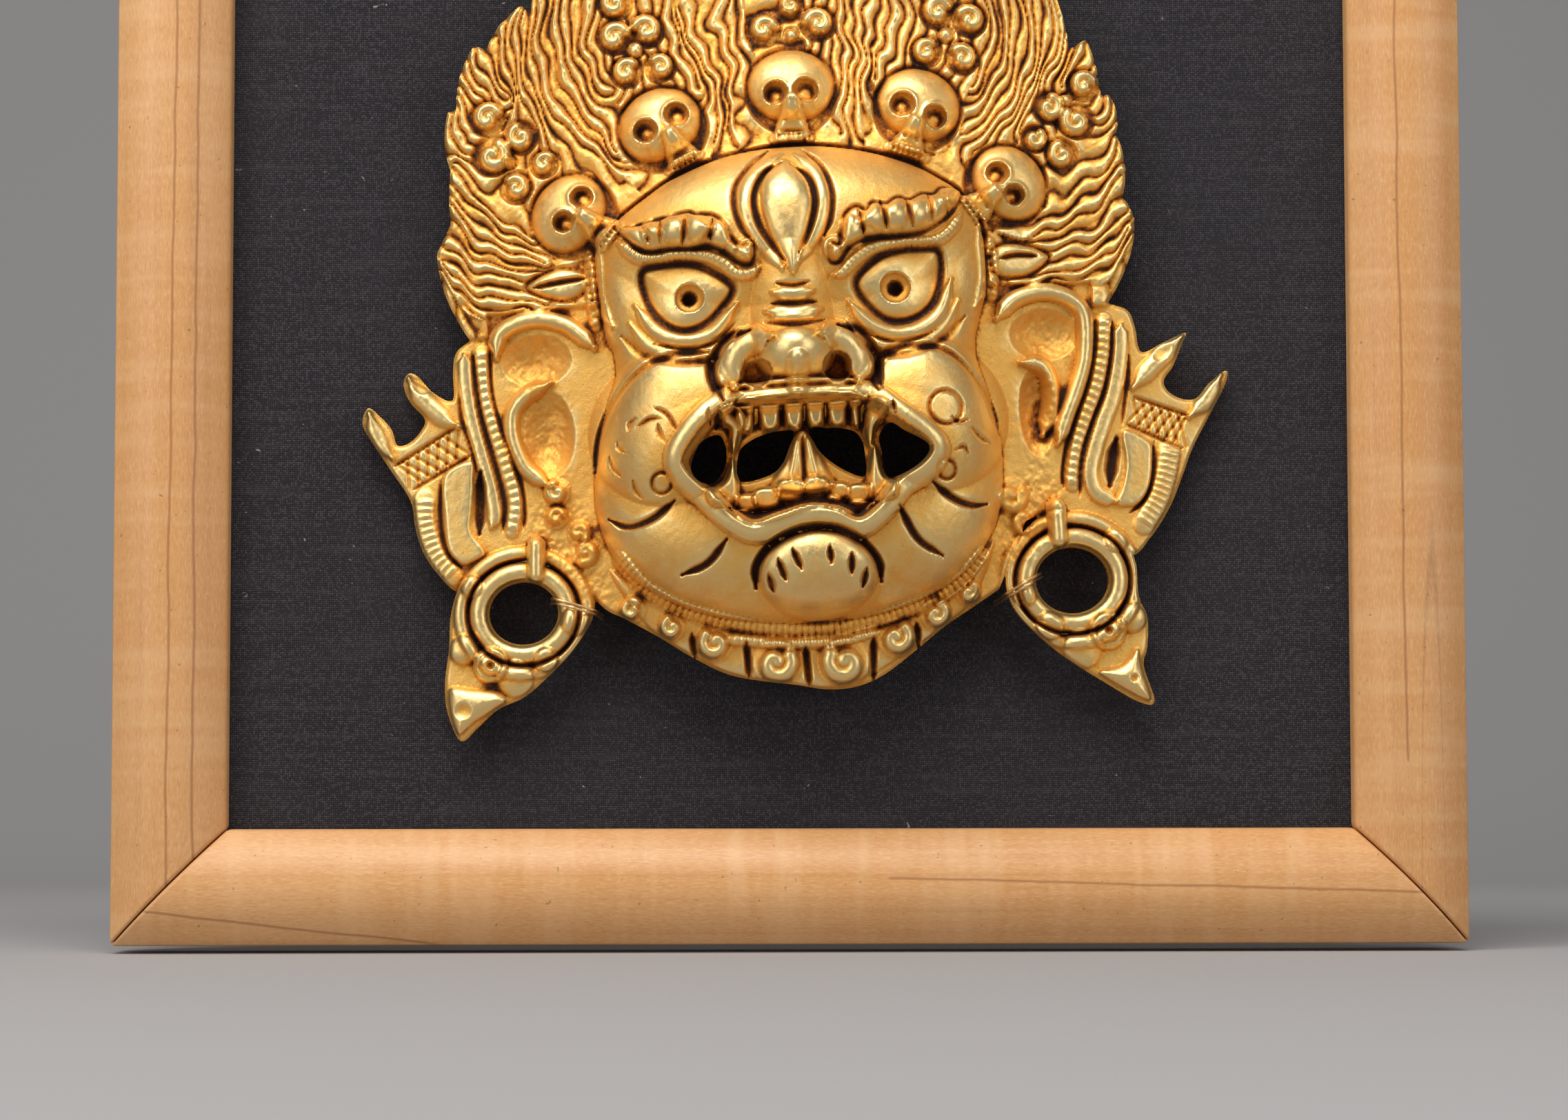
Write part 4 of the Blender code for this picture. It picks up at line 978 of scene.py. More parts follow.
brows = [([(-7.6, 10.8), (-10, 10.2), (-11.8, 12), (-12.8, 14.6), (-15.2, 16.9), (-18.6, 17.4),
           (-20.4, 18.1), (-24.6, 17.5), (-28.6, 17), (-32, 16.6), (-35, 17.2), (-32.4, 13.6),
           (-29, 10.9), (-24, 10.9), (-20, 10.6), (-16.4, 10.8), (-13.4, 9.6), (-10.4, 7.2), (-8, 7)],
          [((-15.3, 16), (-16, 11.8)), ((-20.7, 17.4), (-21.6, 11.6)), ((-25.8, 17), (-26.2, 12)),
           ((-29.6, 16.4), (-28.3, 12.4))],
          [(-31.6, 14.8, 0.9), (-27.6, 14.4, 0.3), (-23.4, 14.6, 0.1), (-18.4, 14.3, 0.0),
           (-13.8, 12.9, -0.3)],
          (-8.8, 9.2, 2.6),
          [(-34.6, 13.6), (-31.4, 10.4), (-28.6, 9.5), (-22, 9.5), (-17, 8.9), (-13.6, 7.2), (-11.4, 5),
           (-8.6, 4.7), (-6.4, 6)]),
         ([(7.8, 9.8), (9.6, 9.4), (10.6, 12.6), (11.4, 15.6), (13.6, 17.2), (15.6, 16.4), (17.2, 17.9),
           (20, 17.6), (22.2, 19), (25, 18.6), (27.6, 20), (30, 20), (32, 21.8), (36, 21.4), (34.4, 17.6),
           (31, 14.2), (27, 12), (22, 11.2), (16, 10.8), (11.6, 9), (9.6, 6.4), (7.8, 6.6)],
          [((14.2, 16.4), (14.8, 11.4)), ((18.6, 18), (19.6, 12.4)), ((23.8, 18.6), (25, 12.6)),
           ((28.6, 19.8), (29, 13.8)), ((32, 20.4), (32.4, 16))],
          [(33.6, 19.6, -0.9), (30.4, 17.2, -0.4), (26.4, 15.9, -0.2), (21.6, 15, -0.1),
           (16.8, 14.2, 0.0), (12.4, 12, 0.3)],
          (8.6, 8.7, 2.6),
          [(35.6, 16), (33, 12.4), (29.6, 10.2), (23, 9.6), (17, 8.9), (13, 6.6), (10.4, 4.2),
           (8.2, 3.4)])]


def carveBrows(relief):
    for outline, slits, lobes, (u, v, radius), band in brows:
        line = smoothLine(outline, 3, closed=True)
        relief.ridge(smoothLine([slit[1] for slit in slits], 2) + [0, 2.4], 4.6, 1.6, 1.2, taper=4)
        relief.plateau(outline, 1.8, 2.0)
        for a, b, turn in lobes:
            relief.dome((a, b), (2.3, 3.6), 1.5, turn, 0.6)
        relief.groove(line, 0.7, 0.9, taper=0)
        for slit in slits:
            relief.groove(slit, 0.6, 1.2, taper=1.2, stain=0.2)
        relief.curl(u, v, radius, 1.0, 1.2, 1, 1.6)
        relief.ridge(band, 1.25, 1.5, 0.7, ribs=1.15, ribDepth=0.4, taper=2)


# Eyes: almond, bulging ball with a bored pupil, lids and the pouch beneath

eyes = [{"almond": [(-30.2, 7.2), (-26, 8.3), (-21, 8.2), (-16.4, 6.4), (-11.8, 2.4), (-14.6, -1.8),
                    (-18.4, -4.8), (-22.8, -5.6), (-27, -3), (-29.6, 1.6)],
         "ball": (-21.2, 1.2, 8.4, 6.8), "pupil": (-20.8, 0.9, 2.9),
         "lid": [(-31.8, 0.6), (-28, -5.2), (-22.2, -7.5), (-16.4, -6.4), (-11.4, -1)],
         "underLid": [(-28.6, -7.6), (-22, -9.3), (-16.2, -8.2), (-12, -4.8)],
         "pouch": [(-33.2, -2.8), (-29.4, -8), (-22.2, -10.5), (-15, -9.6), (-11, -6)],
         "underPouch": [(-35, -5), (-30, -10), (-23, -12), (-15.6, -11.6)]},
        {"almond": [(30.2, 8.4), (26, 9), (21.6, 8.6), (17, 6.8), (12.6, 2.2), (15.4, -3), (19.6, -6),
                    (24.6, -5.4), (28.8, -2), (30.6, 3.6)],
         "ball": (21.8, 1.4, 8.4, 7.0), "pupil": (20.8, 0.9, 3.1),
         "lid": [(32.4, 2.6), (30, -4.2), (25.2, -7.7), (19.8, -8.3), (14.8, -6), (11, -1.6)],
         "underLid": [(29, -7.8), (24.4, -9.6), (19.4, -10), (14.4, -8.2)],
         "pouch": [(33.8, -1.6), (30.6, -7), (25.2, -10.4), (19.6, -11), (14.4, -9.5), (10.6, -5.4)],
         "underPouch": [(35, -4.8), (30.4, -9.4), (25, -12), (19.6, -12.6), (14, -10.8), (11, -6.8)]}]


def carveEyes(relief):
    for eye in eyes:
        relief.plateau(eye["almond"], -1.9, 0.9)
        relief.plateau(eye["almond"], 2.4, 6.5)
        u, v, across, upward = eye["ball"]
        relief.dome((u, v), (across, upward), 1.5, power=1.1)
        u, v, radius = eye["pupil"]
        relief.dome((u, v), (radius, radius), -2.2, power=0.4)
        relief.dome((u, v), (0.5 * radius, 0.5 * radius), -2.4, power=0.4)
        relief.tarnish((u, v), radius, 0.34)
        relief.groove(eye["almond"], 1.0, 1.0, taper=0, closed=True, stain=0.4)
        relief.ridge(eye["lid"], 1.5, 1.5, 0.9, taper=4)
        relief.groove(eye["underLid"], 0.5, 0.6, taper=4)
        relief.ridge(eye["pouch"], 1.3, 0.9, 0.9, taper=5)
        relief.groove(eye["underPouch"], 1.2, 0.9, taper=4)


# Nose

nose = {
    # bridge, base and tip
    "domes": [((-0.4, -5), (8.5, 16), 4.4, 1.0), ((-0.2, -12.4), (14.6, 8.4), 2.4, 0.8),
              ((-0.2, -12), (8.2, 5.0), 3.8, 0.5)],
    "nostrils": [((8, -14.9), (2.8, 3.0), -5.4, 0.5), ((-8.2, -15.4), (3.0, 2.7), -4.0, 0.6)],
    "underTip": [(0, -14), (-0.2, -18.6)],
    "foot": [(-12, -18.4), (-6, -18.2), (0, -18.4), (6, -18.2), (11.6, -18.4)],
    "wrinkles": [((-4.2, 0.4), (0, -0.3), (4, 0.4), 1.5, 1.3),
                 ((-5.6, -3.2), (0, -4), (5.4, -3.2), 1.8, 1.7)],
    "wrinkleGrooves": [((-4.6, -1.6), (0, -2.2), (4.6, -1.6)), ((-6, -5.4), (0, -6.4), (6, -5.4)),
                       ((-3.4, 2.2), (0, 1.6), (3.2, 2.2))],
    "wings": [[(-5.4, -8.4), (-9.4, -8.8), (-12.4, -10.8), (-13.7, -14.4), (-12.6, -17.8)],
              [(5, -8.2), (8.8, -8.6), (11.8, -10.8), (12.9, -14.4), (12.2, -17.8)]],
    "wingGrooves": [[(-7.8, -12.8), (-7.2, -10.6), (-5.2, -8.2)],
                    [(7.2, -12.6), (6.8, -10.4), (5, -8.2)]],
    "cheekLines": [[(-9, -6.6), (-13.4, -8), (-16.4, -11.4), (-17.2, -15), (-16, -18.6), (-15.2, -20.6)],
                   [(8.6, -6.4), (12.8, -7.8), (15.4, -11.2), (16.2, -15), (15.4, -18.4), (16, -19.9)]],
}


def carveNose(relief):
    for centre, radii, rise, power in nose["domes"]:
        relief.dome(centre, radii, rise, power=power)
    for line in nose["wings"]:
        relief.ridge(line, 3.2, 3.0, 0.7, taper=2)
    for line in nose["wingGrooves"]:
        relief.groove(line, 0.7, 0.8, stain=0.1)
    for centre, radii, rise, power in nose["nostrils"]:
        relief.dome(centre, radii, rise, power=power)
    relief.ridge(nose["underTip"], 2.4, 1.6)
    relief.groove(nose["foot"], 0.8, 1.6)
    for first, middle, last, width, rise in nose["wrinkles"]:
        relief.ridge((first, middle, last), width, rise, 0.8, taper=2)
    for line in nose["wrinkleGrooves"]:
        relief.groove(line, 0.6, 0.9)
    for line in nose["cheekLines"]:
        relief.groove(line, 1.3, 2.4, taper=3)


# Mouth

mouth = {
    "hollow": [(0, -20.6), (-9, -20.6), (-14.4, -21.6), (-19, -25), (-23.6, -31), (-22.8, -34.4),
               (-19, -38.2), (-15, -42.4), (-10.6, -45.2), (-5, -43.8), (1, -42.4), (6, -43), (11, -45.2),
               (15.4, -42), (19, -37.8), (23.6, -35), (25.6, -32.2), (23.4, -29.4), (18.6, -25.4),
               (14, -21.8), (8, -20.6)],
    "rim": [(0, -19.4), (-9, -19.4), (-15, -20.4), (-20, -24), (-25, -30.5), (-24.3, -35), (-20, -39.2),
            (-15.6, -43.8), (-10.6, -46.8), (-5, -45.6), (1, -44.2), (6, -44.8), (11, -46.8), (16, -43.4),
            (20, -39), (25, -36.2), (27.2, -32.4), (24.6, -28.8), (19.4, -24.4), (14.6, -20.6),
            (8, -19.4)],
    "upperGum": [(-13.4, -21.6), (-7, -21.2), (0, -21.2), (7, -21.2), (13.4, -21.6)],
    "toothHeights": (-21.6, -22, -24.6, -26.4, -26.9),
    # each upper tooth: middle and width; each lower one: middle and half its width
    "upperTeeth": [(-10.8, 3.7), (-6, 4.5), (-1.1, 4.1), (3.3, 3.9), (7.7, 4.1), (11.4, 2.4)],
    "lowerGum": [(-14.6, -42), (-10, -44.2), (-5, -43.4), (0, -41.8), (5, -41.4), (9, -43), (14, -42.2)],
    "lowerTeeth": [(-11.6, -40.6, 2.0), (-7.5, -39.9, 2.4), (-2.6, -38.7, 2.4), (2.5, -38.3, 2.2),
                   (7, -39.3, 2.1), (11.2, -40, 2.3)],
    "tongue": [(0.5, -26.4), (-1.6, -28.4), (-3.4, -32), (-5.6, -35.4), (-6.4, -38.2), (-3, -39.4),
               (0.6, -39.6), (4, -39.4), (6.6, -38), (5.4, -34.6), (3.6, -31), (2.4, -28.2)],
    "tongueGroove": [(0.5, -27.6), (0.4, -32), (0.4, -37.6)],
    "tongueRidges": [[(-0.9, -28.8), (-1.6, -33), (-2.4, -37)], [(1.7, -28.8), (2.2, -33), (2.8, -37)]],
    "gumSlits": [[(-18.4, -22.4), (-18, -25)], [(-16.6, -22.6), (-16.8, -25.4)],
                 [(18.6, -22.6), (18.9, -25)]],
    "fangs": [[(-16.2, -22.6), (-14, -21.4), (-11.4, -22.4), (-10.9, -25), (-12, -28), (-13.7, -31),
               (-14.4, -28.4), (-14.4, -26), (-15.6, -25)],
              [(13.2, -22.6), (15.4, -21.4), (17.8, -22.8), (17.4, -25), (15.6, -27), (14.2, -31.2),
               (12.9, -28.6), (12.8, -25.6)],
              [(-13.9, -31), (-13.0, -34), (-12.7, -38), (-14, -41.6), (-18.6, -41.4), (-19.7, -38),
               (-16.4, -36), (-14.9, -33.5)],
              [(14.8, -30), (16, -32.6), (16.8, -36), (18.8, -38.6), (18.2, -41.8), (14, -41.8),
               (13.0, -38), (13.6, -33)]],
}


def carveMouth(relief):
    relief.plateau(mouth["hollow"], -6.4, 2.0)
    relief.ridge(mouth["rim"], 2.6, 3.6, 0.4, closed=True)
    relief.groove(mouth["hollow"], 0.8, 0.9, taper=0, closed=True)
    relief.ridge(mouth["upperGum"], 1.6, 2.6, 0.8, taper=3)
    top, neck, waist, corner, foot = mouth["toothHeights"]
    for middle, width in mouth["upperTeeth"]:
        tooth = [(middle - width / 2, neck), (middle, top), (middle + width / 2, neck),
                 (middle + 0.48 * width, waist), (middle + 0.3 * width, corner), (middle, foot),
                 (middle - 0.3 * width, corner), (middle - 0.48 * width, waist)]
        relief.plateau(tooth, 4.2, 1.3)
    relief.plateau(mouth["tongue"], 3.0, 2.6)
    relief.groove(mouth["tongueGroove"], 0.7, 1.2)
    for line in mouth["tongueRidges"]:
        relief.ridge(line, 0.8, 0.6)
    for u, v, radius in mouth["lowerTeeth"]:
        across, upward = 0.98 * radius, 0.8 * radius
        relief.plateau([(u - across, v - upward), (u + across, v - upward), (u + across, v + upward),
                        (u - across, v + upward)], 2.9, 1.3)
    relief.ridge(mouth["lowerGum"], 1.5, 2.6, 0.8, taper=3)
    for fang in mouth["fangs"]:
        relief.plateau(fang, 5.0, 1.7)
    for slit in mouth["gumSlits"]:
        relief.groove(slit, 0.55, 1.4, taper=0.8)


# Cheeks, jaw and chin

lowerFace = {
    "cheekRims": [[(-17.4, -10.2), (-24, -10.2), (-30.5, -12.2), (-36.6, -17.4), (-40.4, -24.4),
                   (-41.8, -32)],
                  [(16.6, -19.6), (16.6, -14), (19, -11.6), (24, -11), (30, -12), (35, -16), (39, -22),
                   (41, -29)]],
    "jawGrooves": [[(-39.6, -42), (-35.5, -44), (-30.5, -42.8), (-26, -39.6)],
                   [(26, -38.6), (30, -42), (34, -43.5), (37.4, -43.2)],
                   [(-25.4, -54.4), (-20, -52.4), (-16, -48)],
                   [(19, -43.2), (22.4, -49.8), (27.6, -53.4)]],
    "crescents": [[(-29, -21), (-26.5, -22.6), (-24.8, -26)],
                  [(-32.6, -24.4), (-30.2, -23.2), (-28, -23.2)],
                  [(-34.6, -25), (-34.2, -23.6), (-33, -22.6)],
                  [(-28.6, -24.4), (-28.2, -26.4), (-27.4, -28)],
                  [(-37, -27), (-36.6, -28.4), (-35.2, -29.4)],
                  [(-38.8, -29.6), (-38.2, -32), (-36.4, -34)],
                  [(-34.2, -35), (-33.8, -37), (-32.6, -38.6)],
                  [(30.5, -26), (32, -27), (33.8, -26.6)],
                  [(34.6, -28), (36.4, -30), (38.4, -31)],
                  [(31, -32.6), (32.8, -32), (33.6, -33.4)]],
    "rings": [(-28.4, -36, 2.0), (29, -36.4, 1.8), (29.4, -24, 3.4)],
    "chin": [(-9.2, -59), (-9.6, -54.6), (-7.6, -51), (-4, -48.6), (1, -47.4), (6, -48), (10, -50.4),
             (13, -54), (13.8, -58.4), (11, -61.6), (3, -63), (-5, -62)],
    "chinSwell": ((2.2, -56), (12, 9), 4.4, 0.6),
    "chinTop": [(-10.6, -58), (-10.4, -53.6), (-7.6, -50), (-3.6, -47.6), (1, -46.6), (6.4, -47.2),
                (10.8, -49.6), (14.2, -53.8), (14.8, -58)],
    "chinSlits": [[(-8, -55.5), (-7.2, -59)], [(-6, -52.8), (-4.6, -57)], [(-3, -51), (-1.4, -55)],
                  [(4.4, -50.8), (4.6, -54.2)], [(8.8, -52.4), (8.6, -56.4)],
                  [(11.8, -55.4), (10.8, -59)]],
    "temples": [[(-38.5, 14), (-39.3, 8), (-38.9, 2), (-36.6, -3)],
                [(39.3, 14), (39.9, 8), (39.7, 2), (37.4, -3)]],
}


def carveCheeks(relief):
    for line in lowerFace["cheekRims"]:
        relief.groove(line, 1.0, 1.5, taper=3)
    for line in lowerFace["jawGrooves"]:
        relief.groove(line, 1.0, 1.5, taper=3, stain=0.4)
    for line in lowerFace["crescents"]:
        relief.groove(line, 0.6, 0.85, taper=1.4)
    for u, v, radius in lowerFace["rings"]:
        relief.groove(ellipseLine((u, v), (radius, radius), 20), 0.55, 0.9, taper=0)
    centre, radii, rise, power = lowerFace["chinSwell"]
    relief.dome(centre, radii, rise, power=power)
    relief.plateau(lowerFace["chin"], 0.9, 2.0)
    relief.groove(lowerFace["chinTop"], 1.0, 2.0, taper=3)
    for slit in lowerFace["chinSlits"]:
        relief.groove(slit, 0.85, 1.7)
    for line in lowerFace["temples"]:
        relief.ridge(line, 1.4, 1.2, 0.8, taper=4)


# Collar and beard

beard = {
    "ribStep": 1.3,
    "ground": [(-40, -52), (-30, -60), (-15, -66), (3, -68), (18, -66), (32, -59), (39, -50), (34, -62),
               (22, -71), (8, -78), (-4, -78), (-18, -74), (-32, -65)],
    "collars": [([(-38, -50), (-32.6, -56.6), (-25, -61.2), (-14, -64.7), (-5, -66.2), (3, -66.6),
                  (12, -65.6), (22, -63), (30, -59.4), (36.4, -53)], 1.35, 1.9),
                ([(-15.6, -67.6), (-8, -68.6), (-1, -69.1), (6, -68.9), (13, -67.6)], 1.1, 1.5)],
    "spirals": [(-36, -60.5, 2.9, 1.0, 1), (-28, -64.5, 2.9, 2.0, 1), (-19.4, -68.2, 3.9, 2.4, 1),
                (-7.2, -73, 4.9, 0.4, -1), (6.9, -73.6, 5.2, 2.6, 1), (17.6, -69.2, 4.1, 0.8, -1),
                (26, -64.8, 3.4, 1.0, -1), (33, -60.8, 2.8, 1.0, -1)],
    "grooves": [[(-13, -68.4), (-12.8, -75.6)], [(-1, -70), (-0.6, -78)], [(13, -69), (12.6, -77.4)],
                [(-24, -66), (-23.6, -71)], [(22, -66.4), (22.2, -71.4)]],
}


def carveBeard(relief):
    relief.plateau(beard["ground"], 1.4, 2)
    for line, width, rise in beard["collars"]:
        relief.ridge(line, width + 0.2, rise, 0.4, ribs=beard["ribStep"], ribDepth=0.42)
    for line in beard["grooves"]:
        relief.groove(line, 0.9, 1.5)
    for u, v, radius, start, hand in beard["spirals"]:
        relief.curl(u, v, radius, 0.95, start, hand, 2.4)


# Ears and the ornaments beside them

ears = {
    "helixes": [[(-40.6, -6.6), (-43.4, -3.5), (-46.9, -0.9), (-51.7, 0.5), (-56.6, -0.1), (-60.2, -2.4),
                 (-61, -7)],
                [(42, -5), (46, -1), (52, 0.6), (57.5, -0.8), (60.6, -4.6), (60.3, -13), (58.3, -19.4),
                 (55.7, -25.3), (53.5, -31)]],
    "folds": [[(-50, -12.7), (-55, -14.9), (-57.8, -17.7), (-58.6, -21.3), (-58, -25.6), (-56, -30),
               (-51.6, -34)],
              [(46.6, -14), (50.6, -14.5), (52.6, -17.6), (52.4, -23), (50.6, -29)]],
    "bowls": [((-52.8, -8), (7.4, 5.4), -3.2), ((-50.8, -23.4), (5.2, 9), -3.0),
              ((52, -8.2), (7.4, 5.4), -3.2), ((49.6, -24), (3.8, 9.4), -3.0)],
    "lobes": [(-50, -35.4, 2.9, 2.2), (-50.5, -40.5, 2.5, 2.0), (-46, -44, 2.6, 1.8),
              (-45, -48, 3.1, 1.8), (43, -41.4, 3.9, 1.8), (45.4, -46.6, 2.8, 1.4)],
}
sideParts = {
    "ribbed": [[(-64.1, -5.2), (-64.1, -11.9), (-63.1, -18.1), (-61.6, -24.2), (-60, -30.4),
                (-58.7, -36.6), (-59.7, -42.6)],
               [(65, -5.3), (64.2, -12), (62.4, -19.2), (59.9, -25.1), (57.7, -31.1), (56.5, -37.1),
                (56.1, -39.5)]],
    "ribWidth": 1.5,
    "ribStep": 1.7,
    "straps": [([(-67.6, -5.7), (-67.7, -11.1), (-67.1, -17.8), (-65.6, -25.2), (-63.9, -32.6),
                 (-63.1, -38.7), (-63.9, -41.7)], 1.5),
               ([(68.3, -6.8), (67.8, -13.4), (65.9, -21.2), (63.4, -27.1), (61.3, -32.5), (60.1, -37.3),
                 (61.1, -41.3), (64.9, -43.3)], 1.7)],
    "panels": [[(-73.2, -30.3), (-67.2, -27.6), (-66.9, -31.2), (-67.5, -37.3), (-68, -42.1),
                (-65.9, -45.3), (-65.5, -47.1), (-67.9, -48.5), (-70.1, -49), (-72.1, -47.4),
                (-73.3, -44.9), (-73.6, -39.4)],
               [(67.3, -28.6), (72.9, -31.3), (73.2, -35.6), (72.4, -40.4), (70.4, -43.4), (67.9, -44.6),
                (64.9, -43.7), (66.4, -40.1), (67.4, -35.3)]],
    "lines": [[(-62.4, -6), (-62.4, -13.9), (-60.9, -21.2), (-59.1, -26.8), (-57.3, -33), (-56.9, -39.1),
               (-57.5, -42.7)],
              [(-65.9, -5.1), (-65.5, -11.2), (-64.8, -18), (-63.2, -25.4), (-61.8, -31.5),
               (-60.9, -37.7), (-61.6, -42.5)],
              [(-69.2, -13.5), (-68.9, -19), (-67.2, -25.1), (-66.4, -30)],
              [(-73.9, -31.4), (-74.3, -38.1), (-74, -43.6), (-72.7, -47.3), (-70.4, -49.6)],
              [(63, -5.8), (62.1, -13.1), (60.1, -19.7), (57.5, -25.6), (55.3, -31.5), (54.2, -37),
               (54.2, -40)],
              [(66.6, -6), (66, -12.7), (64.2, -19.9), (61.4, -25.8), (58.9, -31.8), (57.7, -37.2),
               (57.7, -42)],
              [(69.7, -12.9), (69.2, -17.7), (68.1, -23.2), (67.4, -27.4)],
              [(73.7, -31.4), (73.2, -38), (71.4, -42.8), (67.8, -45.9)]],
    "slots": [([(-65.5, -30.1), (-65.9, -36.2), (-66.5, -42.8)], 1.3),
              ([(66, -30.3), (64.8, -35.1), (64, -40)], 1.7)],
    "horns": [[(-88, -16.4), (-86.6, -22), (-83.6, -26)],
              [(-79.4, -9.8), (-76.6, -14.4), (-72, -19), (-69.6, -20.4)],
              [(88.8, -17.8), (85.4, -23), (81.6, -26.4)],
              [(81, -9.6), (76.6, -13.6), (72.6, -17.4), (70, -20)]],
    "hollows": [((-77.3, -11.4), (1.5, 2.4), 0.7, -1.2), ((76.8, -12.8), (1.4, 2.6), -0.9, -1.0)],
    "manes": [([(-77.5, -34.9), (-77.7, -39.1), (-76.8, -44), (-75.2, -47.8), (-72.6, -51)], 2.3),
              ([(77.1, -33.4), (75.9, -38.2), (73.8, -43.5), (70.7, -48.2)], 2.4)],
    # bands of crossed lines: the ends of the upper border, then of the lower one
    "hatching": [((-82.8, -27.3), (-69.6, -20.1), (-79.5, -32.6), (-67.6, -26.6)),
                 ((81.1, -26), (70.1, -21.8), (79.8, -33), (68.3, -27.4))],
    "hatchCells": 6,
}


def carveEars(relief):
    for line in ears["helixes"]:
        relief.ridge(line, 1.9, 3.0, 0.6, taper=3)
    for line in ears["folds"]:
        relief.ridge(line, 1.9, 2.6, 0.7, taper=3)
    for centre, radii, rise in ears["bowls"]:
        relief.dome(centre, radii, rise, power=1)
    for u, v, radius, rise in ears["lobes"]:
        relief.curl(u, v, radius, 0.9, 0.3 * v, 1 if u < 0 else -1, rise)


def carveHatching(relief, band):
    upperStart, upperEnd, lowerStart, lowerEnd = (np.array(corner, float) for corner in band)
    count = sideParts["hatchCells"]

    def spot(along, down):
        upper = upperStart + (upperEnd - upperStart) * along
        lower = lowerStart + (lowerEnd - lowerStart) * along
        return upper + (lower - upper) * down

    relief.groove((spot(-0.04, 0), spot(0.5, 0), spot(1, 0)), 0.55, 0.8, taper=1)
    relief.groove((spot(0, 1), spot(0.5, 1), spot(1, 1)), 0.55, 0.8, taper=1)
    for step in range(count):
        near, far = (step - 0.5) / count, (step + 1) / count
        for start, end in ((max(near, 0), far), (far, near)):
            relief.groove((spot(start, 0.04), spot(end, 0.96)), 0.42, 0.55, taper=0.5, stain=0.15)


def carveSides(relief):
    for line, width in sideParts["straps"]:
        relief.ridge(line, width, 1.3, 0.35, taper=1.5)
    for outline in sideParts["panels"]:
        relief.plateau(outline, 1.3, 0.9)
    for line in sideParts["ribbed"]:
        relief.ridge(line, sideParts["ribWidth"], 1.3, 0.35, ribs=sideParts["ribStep"], ribDepth=0.45)
    for line, width in sideParts["manes"]:
        relief.ridge(line, width, 1.4, 0.45, ribs=1.4, ribDepth=0.42)
    for line in sideParts["lines"]:
        relief.groove(line, 0.5, 0.9, taper=2)
    for line, width in sideParts["slots"]:
        relief.groove(line, width, 2.0, taper=3, stain=0.45)
    for line in sideParts["horns"]:
        relief.ridge(line, 2.2, 1.6, 0.8, taper=4)
    for centre, radii, turn, rise in sideParts["hollows"]:
        relief.dome(centre, radii, rise, turn, 0.7)
    for band in sideParts["hatching"]:
        carveHatching(relief, band)


# Ear rings with their tabs, bosses and beaks

rings = {
    # rolls round each ring's hole: how far out, half width and rise
    "rolls": [(2.1, 2.1, 2.8), (6.0, 1.5, 1.6)],
    "between": 4.3,
    "tabs": [((-54.8, -46), (-55.1, -52.2), 1.9), ((52.3, -44), (52.3, -50.8), 2.0)],
    "bosses": [(-65.5, -70, 3.7), (61.5, -70, 4.0)],
    "lobes": [(-71, -66.5, 3.1), (-60.5, -73, 3.9), (-54, -69.6, 2.6), (-47.6, -62, 3.0),
              (-68.6, -53.6, 2.4), (67, -67.5, 3.1), (56, -73.4, 4.2), (49.4, -68.4, 3.0),
              (44.6, -61.6, 2.6), (64.4, -51.4, 2.6)],
    "beaks": [[(-74.3, -74.2), (-69.4, -74.6), (-64, -75.5), (-62.9, -78), (-69.2, -81.4), (-72.8, -84),
               (-74.4, -80)],
              [(67.6, -73.8), (68.4, -77.9), (69.8, -84), (67.8, -84.4), (60.2, -79.6), (59.4, -78),
               (64.2, -77)]],
    "dimples": [((-71.6, -79), (1.9, 1.9), -0.9), ((66.4, -80), (0.9, 0.9), -1.0)],
}


def carveRings(relief):
    for centre, radii in ((leftRing, leftRingHole), (rightRing, rightRingHole)):
        for offset, width, rise in rings["rolls"]:
            relief.ridge(ellipseLine(centre, (radii[0] + offset, radii[1] + offset)), width, rise, 0.5)
        apart = rings["between"]
        relief.groove(ellipseLine(centre, (radii[0] + apart, radii[1] + apart)), 0.6, 0.9, taper=0)
    for top, low, width in rings["tabs"]:
        relief.bar((top, low), width, 3.6)
    for u, v, radius in rings["bosses"]:
        relief.dome((u, v), (radius, radius), 2.8, power=0.4)
        relief.dome((u, v), (0.9, 0.9), -1.6, power=0.5)
        relief.groove(ellipseLine((u, v), (0.62 * radius, 0.62 * radius), 16), 0.45, 0.45, taper=0)
    for u, v, radius in rings["lobes"]:
        relief.dome((u, v), (radius, radius), 2.0)
    for outline in rings["beaks"]:
        relief.plateau(outline, 2.4, 3.4)
    for centre, radii, rise in rings["dimples"]:
        relief.dome(centre, radii, rise, power=1)


# Curls over the skulls, with beads between them, and a leaf and a ribbed edge at each temple

# each curl: centre, radius, start of the spiral, hand
curls = [(-2.2, 57.6, 3.4, 0.3, 1), (9, 58.4, 3.7, 2.8, -1), (3.6, 62.4, 2.6, 1.5, 1),
         (-33, 58, 3.7, 0.5, 1), (-26.5, 59, 3.7, 2.6, -1), (-31, 50.5, 3.3, 0.9, 1),
         (-24, 51, 3.1, 2.2, -1), (-32.6, 65, 3.4, 1.5, 1), (-60.2, 43, 3.6, 0.5, 1),
         (-59.5, 35, 4.1, 1.0, -1), (-53.5, 38.5, 3.4, 2.0, 1), (-49, 32.5, 2.8, 0.8, 1),
         (-55, 28, 3.2, 2.2, -1), (34, 60, 3.7, 0.6, 1), (40.5, 58, 3.6, 2.4, -1),
         (31, 51.5, 3.2, 1.0, 1), (38.5, 50, 3.4, 2.2, -1), (63.5, 43.5, 3.4, 0.4, 1),
         (56, 39, 3.4, 1.2, -1), (61.5, 36, 3.7, 2.4, 1), (52.5, 32.5, 2.8, 0.7, -1),
         (58, 29, 3.3, 1.8, 1)]
